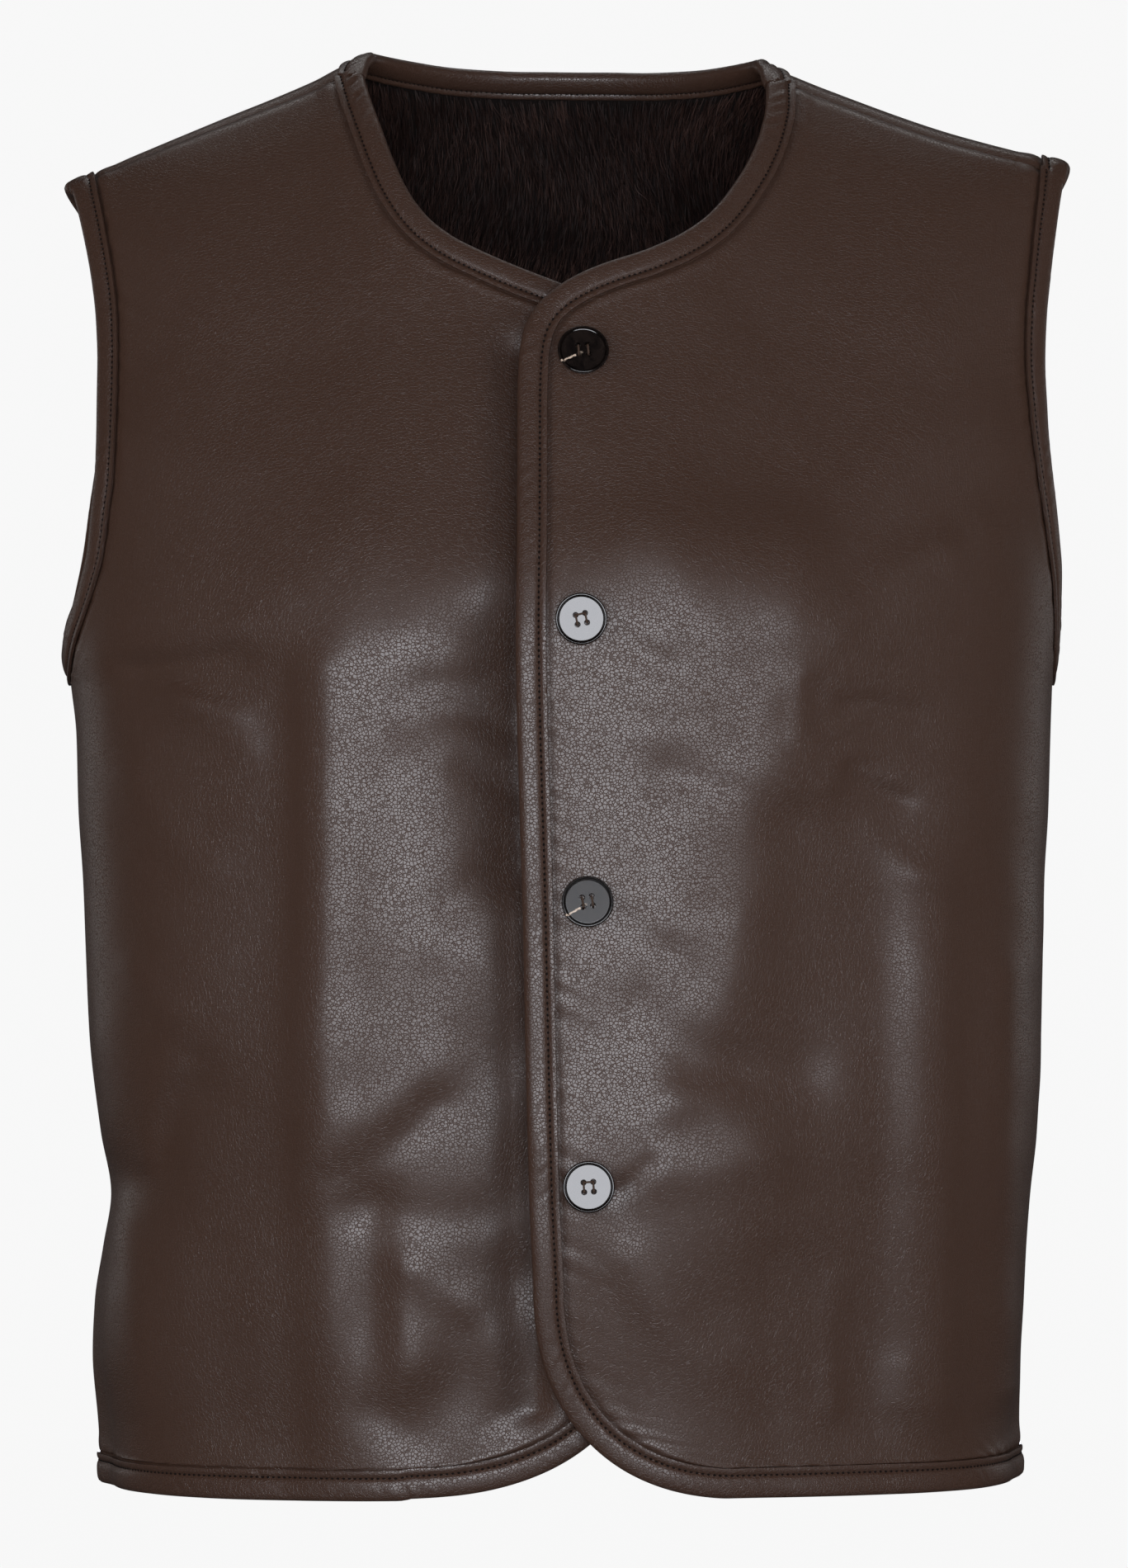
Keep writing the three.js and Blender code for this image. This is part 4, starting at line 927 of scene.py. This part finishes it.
def addStitches(name, stations, normals):
    s = stitches
    turns = 2 * math.pi * np.arange(s["sides"]) / s["sides"]
    sewn = []
    for isInside in (False, True):
        everywhere = np.ones(stations.shape[1])
        line = acrossBinding(stations, normals, everywhere * binding["stitchAt"],
                             everywhere * binding["stitchHeight"][int(isInside)])
        needles = line[2:-2:2]  # at even stations
        up = (-1 if isInside else 1) * normals[0][2:-2:2]
        run = line[3:-1:2][:len(needles)] - line[1:-3:2][:len(needles)]
        sideways = unit(np.cross(unit(run), up))
        rings = []
        for share, swell in s["rings"]:
            lift = s["rise"] * math.sin(math.pi * share) - s["sunk"]
            centre = needles + run * (share - 0.5) * s["length"] + up * lift
            radius = s["radius"] * swell
            rings += [centre + radius * (sideways * math.cos(t) + up * math.sin(t)) for t in turns]
        sewn.append(np.array(rings).transpose(1, 0, 2))
    points = np.concatenate(sewn)
    number, total = points.shape[:2]
    one = tubeFaces(len(s["rings"]), s["sides"])
    faces = [[k * total + corner for corner in face] for k in range(number) for face in one]
    piece = addPiece(f"stitches_{name}", points.reshape(-1, 3), faces, [stitchThread], sharpAngle=80)


# Paths of each binding, if it is a closed ring, its seed, and which ends meet a shoulder seam
bindings = {
    "right": (["rightEdge"], False, 21, (1.0,)), "left": (["leftEdge"], False, 22, (0.0,)),
    "neck_back": (["backNeck"], False, 23, (0.0, 1.0)), "hem_back": (["backHem"], False, 24, ()),
    "armhole_right": (["rightArm", "backRightArm"], True, 25, ()),
    "armhole_left": (["leftArm", "backLeftArm"], True, 26, ()),
}
for name, (names, isClosed, seed, neckEnds) in bindings.items():
    stations, normals, run = stationsOf(names)
    addBinding(name, stations, normals, run, isClosed, seed, neckEnds)
    addStitches(name, stations, normals)

# Fur on the inside: tapered strands that lie downwards, thickest where the neck opening shows it
fur = {
    "seed": 12,
    "neckCount": 40000, "count": {"back": 15000, "left": 8000, "right": 8000},
    "neckArea": (118, -150),  # half width, lowest height
    "neckLength": (7, 12), "neckWidth": 0.27,
    "length": (12, 19), "width": 1.5, "unevenWidth": (0.6, 1.25), "taper": 0.42,
    "rooted": 0.4,  # how deep a strand starts in the cloth
    "fromEdge": 2.4,  # how far from a fold line the first strands start
    "lift": (1.6, 4.6), "tipLift": (0.5, 1.1),
    # slow turns of the strands, in radians, over runs in millimetres
    "swirl": {"turn": 0.16, "across": 23, "down": 31, "bend": 1.7},
    "eddy": {"turn": 0.13, "across": 41, "down": 17},
    "stray": 0.17, "twist": 0.45, "bow": 0.3,  # spread of lean and turn, in radians, and of the tip
    "middleAt": 0.45, "tipAt": 0.96,  # shares of the length
    "tones": [(0.0, (0.0050, 0.0018, 0.0014)), (1.0, (0.50, 0.27, 0.215))],
    "shadeSpread": (1.4, 3.2), "shadeAlong": (0.25, 0.25, 0.8, 0.8, 1.25),
    "patch": {"across": 13, "down": 15, "start": 2, "bend": 1.3, "bendDown": 11, "range": (0.5, 1.4)},
    "lit": [(-8, 50, 1.0), (-62, 40, 1.7)], "unlit": 0.12,  # painted light: paler lower down, where little light reaches the fur: from, over, by
}


# Each strand has its own shade, kept on its points as "shade"; lower down it also carries painted light
def furMaterial():
    material, shader = newMaterial("darkFur", {"Roughness": 0.55, "Specular IOR Level": 0.12})
    shade = addNode(material, "Attribute", {}, attribute_name="shade")
    setSockets(shader, {"Base Color": addRamp(material, shade.outputs["Fac"], fur["tones"])})
    return material


darkFur = furMaterial()


def addFur(name, side, count, lengths, width, weightOf, seed):
    rng = np.random.default_rng(seed)
    points, normals = panels[side]["points"], panels[side]["normals"]
    a, b, d = points[:-1, :-1], points[:-1, 1:], points[1:, :-1]
    area = np.linalg.norm(np.cross(b - a, d - a), axis=-1)
    isClear = panels[side]["toBound"][:-1, :-1] > fur["fromEdge"]
    weight = (area * weightOf(a) * isClear).ravel()
    cell = rng.choice(weight.size, count, p=weight / weight.sum())
    j, i = np.unravel_index(cell, area.shape)
    u, v = rng.random((2, count, 1))
    root = mix(mix(points[j, i], points[j, i + 1], u), mix(points[j + 1, i], points[j + 1, i + 1], u), v)
    x, z = root[:, 0], root[:, 2]
    swirl, eddy, patch = fur["swirl"], fur["eddy"], fur["patch"]
    lean = swirl["turn"] * np.sin(x / swirl["across"] + swirl["bend"] * np.sin(z / swirl["down"]))
    lean += eddy["turn"] * np.sin(z / eddy["down"] + x / eddy["across"])
    lean += rng.normal(0, fur["stray"], count)
    length = rng.uniform(*lengths, count)
    lift = rng.uniform(*fur["lift"], count)[:, None]
    rowStep = np.linalg.norm(points[j + 1, i] - points[j, i], axis=-1)
    normal = -unit(normals[j, i])
    sideways = unit(np.cross(normal, points[j, i] - points[j + 1, i])) * (length * np.sin(lean))[:, None]
    bend = rng.uniform(*fur["tipLift"], (count, 1))
    root = root + normal * (cloth["thickness"] - fur["rooted"])

    def below(share):  # the place on the cloth's inside under a part of the strand
        down = share * length * np.cos(lean)
        lower = np.maximum(j - np.rint(down / rowStep).astype(int), 0)
        reach = (j - lower) * rowStep / np.maximum(down, 0.1)
        inward = -unit(normals[lower, i])
        drop = points[lower, i] - points[j, i] + (inward - normal) * cloth["thickness"]
        return root + drop + sideways * share * np.minimum(reach, 1)[:, None], inward

    middle, inward = below(fur["middleAt"])
    middle = middle + inward * lift
    tip, inward = below(fur["tipAt"])
    tip = tip + inward * lift * bend + sideways * rng.normal(0, fur["bow"], (count, 1))
    twist = rng.normal(0, fur["twist"], count)[:, None]
    wide = unit(np.cross(unit(middle - root), normal)) * np.cos(twist) + normal * np.sin(twist)
    wide = wide * width * rng.uniform(*fur["unevenWidth"], (count, 1))
    narrow = wide * fur["taper"]
    strand = np.stack([root - wide / 2, root + wide / 2, middle + narrow, middle - narrow, tip], 1)
    start = 5 * np.arange(count)[:, None]
    faces = (start + [0, 1, 2, 3]).tolist() + (start + [3, 2, 4]).tolist()
    piece = addPiece(name, strand.reshape(-1, 3), faces, [darkFur], sharpAngle=180)
    patchWave = np.sin(x / patch["across"] + patch["bend"] * np.sin(z / patch["bendDown"]))
    paleness = mix(*patch["range"], 0.5 + 0.5 * patchWave * np.sin(z / patch["down"] + patch["start"]))
    # painted light: the strands' colour is made paler lower down, standing in for light that hardly
    # reaches them there
    lit = fur["unlit"] + sum(by * smoothStep((top - z) / over) for top, over, by in fur["lit"])
    shade = np.clip(rng.beta(*fur["shadeSpread"], count) * paleness * lit, 0, 1)
    shade = np.clip(shade[:, None] * fur["shadeAlong"], 0, 1)
    attribute = piece.data.attributes.new("shade", "FLOAT", "POINT")
    attribute.data.foreach_set("value", shade.ravel().astype(np.float32))
    print(f"{name}: {count} strands")


def nearNeck(point):
    halfWidth, lowest = fur["neckArea"]
    return ((np.abs(point[..., 0]) < halfWidth) & (point[..., 2] > lowest)).astype(float)


def awayFromNeck(point):
    return 1 - nearNeck(point)


def anywhere(point):
    return np.ones(point.shape[:-1])


addFur("fur_back_neck", "back", fur["neckCount"], fur["neckLength"], fur["neckWidth"], nearNeck,
       fur["seed"])
for k, (side, name, where) in enumerate((("back", "fur_back", awayFromNeck),
                                         ("left", "fur_front_left", anywhere),
                                         ("right", "fur_front_right", anywhere))):
    addFur(name, side, fur["count"][side], fur["length"], fur["width"], where, fur["seed"] + 1 + k)

# Four-hole buttons on the left front: place, turn, how far each leans up, and if it has a link
buttons = {
    "holeRadius": 1.2, "holeSpacing": 3.8, "clearance": 0.5, "sides": 96, "sharpAngle": 32,
    "profile": [(7.4, 0.2), (8.7, 0.55), (9.6, 1.2), (10.0, 1.8), (10.13, 2.4), (10.13, 2.8),
                (10.06, 3.1), (9.92, 3.3), (9.74, 3.38), (9.52, 3.38), (9.38, 3.28), (9.32, 3.05),
                (9.28, 2.4), (9.2, 2.1), (9.0, 2.02), (8.84, 2.12), (8.76, 2.4), (8.7, 2.68),
                (8.56, 2.79), (8.4, 2.8), (8.2, 2.8)],  # radius and height, from below to the top
    "places": {
        "button_1": {"x": 7.5, "z": -72.7, "turn": 4, "lean": 0.0, "isLinked": False, "hasVein": 1.0},
        "button_2": {"x": 6.8, "z": -178.4, "turn": 12, "lean": -6.5, "isLinked": True, "hasVein": 0.0},
        "button_3": {"x": 9.2, "z": -289.4, "turn": 8, "lean": 11.0, "isLinked": False, "hasVein": 1.0},
        "button_4": {"x": 9.7, "z": -400.4, "turn": 4, "lean": 7.5, "isLinked": True, "hasVein": 0.0},
    },
    "worn": ["button_3"],
    "threadRadius": 0.42, "barHeight": 3.35, "linkHeight": 3.1,
    # how a bar of thread leaves its hole: places along it, share upright, steepness, roundness, depth
    "bar": {"places": 11, "upright": 0.08, "rise": 2.2, "power": 0.8, "sunk": 1.6, "climb": 9},
    "shankRadius": 1.3, "shank": (-1.4, 0.6),  # heights at its two ends
}
horn = {
    "refraction": 1.56, "polished": 0.12, "worn": 0.3,
    "cloudScale": 0.22, "cloudBend": 1.2,
    "tones": [(0.35, (0.0024, 0.0016, 0.0014)), (0.75, (0.0090, 0.0060, 0.0050))],
    # the vein starts near the holes and runs to the rim at the lower left
    "veinColour": (0.42, 0.33, 0.26), "veinStart": (-0.4, -0.9, 0), "veinTurn": 22,
    "veinEdge": (0.18, 0.5), "veinEnd": (-1.5, 0.2), "veinWander": 1.6, "veinScale": 0.55,
}


def hornMaterial(name, roughness):
    material, shader = newMaterial(name, {"Roughness": roughness, "IOR": horn["refraction"]})
    local = addNode(material, "Attribute", {}, attribute_name="local").outputs["Vector"]
    cloud = addNode(material, "TexNoise", {
        "Vector": local, "Scale": horn["cloudScale"], "Detail": 5, "Distortion": horn["cloudBend"]})
    tone = addRamp(material, cloud.outputs["Fac"], horn["tones"])
    # a pale vein, uneven in width
    rough = addNode(material, "TexNoise", {"Vector": local, "Scale": horn["veinScale"], "Detail": 4})
    sway = horn["veinWander"]
    bent = addNode(material, "VectorMath", {0: rough.outputs["Color"], 1: (sway, sway, 0), 2: local},
                   operation="MULTIPLY_ADD")
    moved = addNode(material, "VectorMath", {0: bent.outputs["Vector"], 1: (sway / 2, sway / 2, 0)},
                    operation="SUBTRACT")
    along = addNode(material, "Mapping", {
        "Vector": moved.outputs["Vector"], "Location": horn["veinStart"],
        "Rotation": (0, 0, math.radians(horn["veinTurn"]))}, vector_type="TEXTURE")
    parts = addNode(material, "SeparateXYZ", {"Vector": along.outputs["Vector"]})
    beside = addNode(material, "Math", {0: parts.outputs["Y"]}, operation="ABSOLUTE")

    def fade(value, start, end):
        sockets = {"Value": value, "From Min": start, "From Max": end, "To Min": 1, "To Max": 0}
        return addNode(material, "MapRange", sockets).outputs["Result"]

    def product(a, b):
        return addNode(material, "Math", {0: a, 1: b}, operation="MULTIPLY").outputs["Value"]

    veined = addNode(material, "Attribute", {}, attribute_name="veined").outputs["Fac"]
    shown = product(fade(beside.outputs["Value"], *horn["veinEdge"]),
                    fade(parts.outputs["X"], *horn["veinEnd"]))
    paler = addNode(material, "Mix", {
        "Factor": product(shown, veined), "A": tone, "B": (*horn["veinColour"], 1)}, data_type="RGBA")
    setSockets(shader, {"Base Color": paler.outputs["Result"]})
    return material


polishedHorn = hornMaterial("polishedHorn", horn["polished"])
wornHorn = hornMaterial("wornHorn", horn["worn"])
buttonThread = plainMaterial("buttonThread", (0.040, 0.025, 0.018), 0.8)


# Angle and level of the place on the left front seen at x and z
def placeOn(surface, x, z):
    angle, level = np.array([x / 2.2]), np.array([1.0])  # a first guess, near enough to start from
    for _ in range(14):
        point = surface(angle, level)
        around, up = slopesOf(surface, angle, level)
        missX, missZ = x - point[:, 0], z - point[:, 2]
        scale = 1 / (around[:, 0] * up[:, 2] - up[:, 0] * around[:, 2])
        angle = angle + (missX * up[:, 2] - missZ * up[:, 0]) * scale
        level = level + (missZ * around[:, 0] - missX * around[:, 2]) * scale
    return angle, level


def cutHoles(piece, spacing, radius):
    for x, y in ((1, 1), (-1, 1), (-1, -1), (1, -1)):
        bpy.ops.mesh.primitive_cylinder_add(
            vertices=24, radius=radius * millimetre, depth=0.02,
            location=(x * spacing / 2 * millimetre, y * spacing / 2 * millimetre, 0))
        drill = bpy.context.object
        cut = piece.modifiers.new("hole", "BOOLEAN")
        cut.operation, cut.object, cut.solver = "DIFFERENCE", drill, "EXACT"
        bpy.context.view_layer.objects.active = piece
        bpy.ops.object.modifier_apply(modifier=cut.name)
        bpy.data.objects.remove(drill)


# A disc made in its own frame, where the horn's pattern is read, and then set in its place
def addDisc(name, place, rotation, seat):
    sides = buttons["sides"]
    turns = np.linspace(0, 2 * math.pi, sides, endpoint=False)
    profile = np.array(buttons["profile"], float)
    radius, height = profile[:, :1], profile[:, 1:]
    rings = np.stack([radius * np.cos(turns), radius * np.sin(turns), height + 0 * turns], axis=-1)
    faces = gridFaces(len(profile), sides, wrapColumns=True).tolist()
    faces.append(list(reversed(range(sides))))
    faces.append([(len(profile) - 1) * sides + s for s in range(sides)])
    material = wornHorn if name in buttons["worn"] else polishedHorn
    piece = addPiece(f"horn_{name}", rings.reshape(-1, 3), faces, [material],
                     sharpAngle=buttons["sharpAngle"])
    cutHoles(piece, buttons["holeSpacing"], buttons["holeRadius"])
    mesh = piece.data
    flat = np.zeros(len(mesh.vertices) * 3, np.float32)
    mesh.vertices.foreach_get("co", flat)
    local = flat.reshape(-1, 3) / millimetre
    pattern = mesh.attributes.new("local", "FLOAT_VECTOR", "POINT")
    pattern.data.foreach_set("vector", local.astype(np.float32).ravel())
    vein = mesh.attributes.new("veined", "FLOAT", "POINT")
    vein.data.foreach_set("value", np.full(len(mesh.vertices), place["hasVein"], np.float32))
    placed = (local @ rotation.T + seat) * millimetre
    mesh.vertices.foreach_set("co", placed.astype(np.float32).ravel())
    shadeSmooth(mesh, buttons["sharpAngle"])
    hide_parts(name)


# A bent round thread through places, in the button's own frame
def threadRings(line, radius, sides=8):
    line = np.array(line, float)
    along = unit(np.gradient(line, axis=0))
    across = unit(np.cross(along, np.array([0.3, 0.2, 1.0])))
    up = np.cross(across, along)
    turns = np.linspace(0, 2 * math.pi, sides, endpoint=False)
    ring = [line + radius * (across * math.cos(t) + up * math.sin(t)) for t in turns]
    return np.array(ring).transpose(1, 0, 2)


# A thread that comes up out of one hole and goes down into another
def barLine(x0, y0, x1, y1, height):
    bar = buttons["bar"]
    t = np.linspace(0, 1, bar["places"])
    share = smoothStep((t - bar["upright"]) / (1 - 2 * bar["upright"]))[:, None]
    flat = mix(np.array([x0, y0]), np.array([x1, y1]), share)
    bridge = height * np.minimum(1, np.sin(math.pi * t) * bar["rise"]) ** bar["power"]
    sunk = bar["sunk"] * (1 - np.minimum(1, t * bar["climb"]) * np.minimum(1, (1 - t) * bar["climb"]))
    return np.column_stack([flat, bridge - sunk])


def addThread(name, isLinked, rotation, seat):
    b, half = buttons, buttons["holeSpacing"] / 2
    lines = [barLine(x, -half, x, half, b["barHeight"]) for x in (-half, half)]
    if isLinked:
        lines.append(barLine(-half, half, half, half, b["linkHeight"]))
    tubes = [threadRings(line, b["threadRadius"]) for line in lines]
    shank = np.column_stack([np.zeros(6), np.zeros(6), np.linspace(*b["shank"], 6)])
    tubes.append(threadRings(shank, b["shankRadius"]))
    faces, count = [], 0
    for tube in tubes:
        faces += tubeFaces(*tube.shape[:2], count)
        count += tube.shape[0] * tube.shape[1]
    points = np.concatenate([tube.reshape(-1, 3) for tube in tubes])
    addPiece(f"thread_{name}", points @ rotation.T + seat, faces, [buttonThread], sharpAngle=60)


leftSurface = surfaces["left"]
for name, place in buttons["places"].items():
    angle, level = placeOn(leftSurface, place["x"], place["z"])
    normal = Vector(normalOf(leftSurface, angle, level)[0])
    toward = Matrix.Rotation(math.radians(-place["lean"]), 3, "X") @ normal
    spin = Matrix.Rotation(math.radians(place["turn"]), 3, "Z")
    rotation = np.array(toward.to_track_quat("Z", "Y").to_matrix() @ spin)
    seat = np.array(Vector(leftSurface(angle, level)[0]) + normal * buttons["clearance"])
    addDisc(name, place, rotation, seat)
    addThread(name, place["isLinked"], rotation, seat)
print("buttons sewn on")

# Studio: a pale floor and a pale dome round it, a large soft light low in front and another behind,
# a strip above the shoulders and four weak lights from the sides
studio = {
    "floorZ": -0.95, "floorRadius": 4.2, "domeRadius": 9.0,
    "floorColour": (0.82, 0.82, 0.82), "domeGlow": 0.93, "floorGlowShare": 0.86,
    "world": (0.03, 0.03, 0.032), "softboxColour": (0.92, 0.94, 1.0),
    "front": {"place": (0.0, -2.5, -0.13), "aim": (0, 0, -0.19), "size": (1.72, 0.88), "power": 49},
    "behind": {"place": (0.0, 2.5, -0.16), "aim": (0, 0, -0.26), "size": (1.72, 1.06), "power": 50},
    "above": {"place": (0.0, 0.85, 1.5), "aim": (0, 0.0, 0.0), "size": (1.6, 0.5), "power": 6.5},
    "frontFill": {"place": (2.4, -1.2, 0.3), "aim": (0, 0, -0.25), "size": (1.6, 1.8), "power": 42},
    "backFill": {"place": (2.0, 1.7, 0.0), "aim": (0, 0, -0.25), "size": (1.2, 1.2), "power": 2.5},
    "camera": (0, -3.5, -0.243), "lens": 198, "sensorWidth": 36,
}


# Seen directly, the floor is as pale far from the lights as it is under them
def floorMaterial():
    material = plainMaterial("paleFloor", studio["floorColour"], 0.9)
    nodes = material.node_tree.nodes
    seen = addNode(material, "LightPath", {}).outputs["Is Camera Ray"]
    amount = addNode(material, "Math", {0: seen, 1: studio["floorGlowShare"]}, operation="MULTIPLY")
    glow = addNode(material, "Emission", {"Strength": studio["domeGlow"]})
    blend = addNode(material, "MixShader", {
        "Fac": amount.outputs["Value"], 1: nodes["Principled BSDF"].outputs["BSDF"],
        2: glow.outputs["Emission"]})
    setSockets(nodes["Material Output"], {"Surface": blend.outputs["Shader"]})
    return material


def addStage():
    s = studio
    turns = np.linspace(0, 2 * math.pi, 64, endpoint=False)
    rim = [(s["floorRadius"] * math.cos(t), s["floorRadius"] * math.sin(t), s["floorZ"]) for t in turns]
    mesh = bpy.data.meshes.new("paleFloor")
    mesh.from_pydata(rim, [], [list(range(len(rim)))])
    mesh.materials.append(floorMaterial())
    floor = bpy.data.objects.new("pale_floor", mesh)
    bpy.context.collection.objects.link(floor)
    bpy.ops.mesh.primitive_uv_sphere_add(segments=48, ring_count=24, radius=s["domeRadius"])
    dome = bpy.context.object
    dome.name = "pale_dome"
    dome.data.materials.append(newMaterial("paleDome", {
        "Base Color": (0, 0, 0, 1), "Emission Color": (1, 1, 1, 1),
        "Emission Strength": s["domeGlow"]})[0])
    # the dome is only a background: it neither lights the jacket nor shows in its gloss
    dome.visible_diffuse = dome.visible_shadow = dome.visible_transmission = False
    dome.visible_glossy = floor.visible_glossy = False


def addLight(name, place, aim, size, power, isGlossy=True):
    light = bpy.data.lights.new(name, "AREA")
    light.shape = "RECTANGLE"
    light.size, light.size_y = size
    light.energy = power
    lamp = bpy.data.objects.new(name, light)
    lamp.location = place
    lamp.rotation_euler = (Vector(aim) - Vector(place)).to_track_quat("-Z", "Y").to_euler()
    lamp.visible_camera = False
    lamp.visible_glossy = isGlossy
    bpy.context.collection.objects.link(lamp)
    return lamp


addStage()
frontSoftbox = addLight("frontSoftbox", **studio["front"])
backSoftbox = addLight("backSoftbox", **studio["behind"])
frontSoftbox.data.color = backSoftbox.data.color = studio["softboxColour"]
addLight("shoulderStrip", **studio["above"])
for kind in ("frontFill", "backFill"):
    for sign, side in ((1, "Left"), (-1, "Right")):
        spec = dict(studio[kind])
        spec["place"] = (sign * spec["place"][0], *spec["place"][1:])
        addLight(kind + side, **spec, isGlossy=kind == "backFill")
# the light behind reaches the back alone, so that it draws no white rim round the front
backPieces = bpy.data.collections.new("backPieces")
for piece in bpy.context.scene.objects:
    if piece.type == "MESH" and piece.name.endswith(("leather_back", "neck_back", "hem_back")):
        backPieces.objects.link(piece)
backSoftbox.light_linking.receiver_collection = backPieces
world = bpy.data.worlds.new("studioAir")
world.use_nodes = True
world.node_tree.nodes["Background"].inputs["Color"].default_value = (*studio["world"], 1)
bpy.context.scene.world = world
bpy.context.scene.view_settings.view_transform = "Standard"
cameraData = bpy.data.cameras.new("photoCamera")
cameraData.lens = studio["lens"]
cameraData.sensor_width = studio["sensorWidth"]
camera = bpy.data.objects.new("photoCamera", cameraData)
camera.location = studio["camera"]
camera.rotation_euler = (math.pi / 2, 0, 0)
bpy.context.collection.objects.link(camera)
bpy.context.scene.camera = camera
print("studio lit")

print("scene ready")
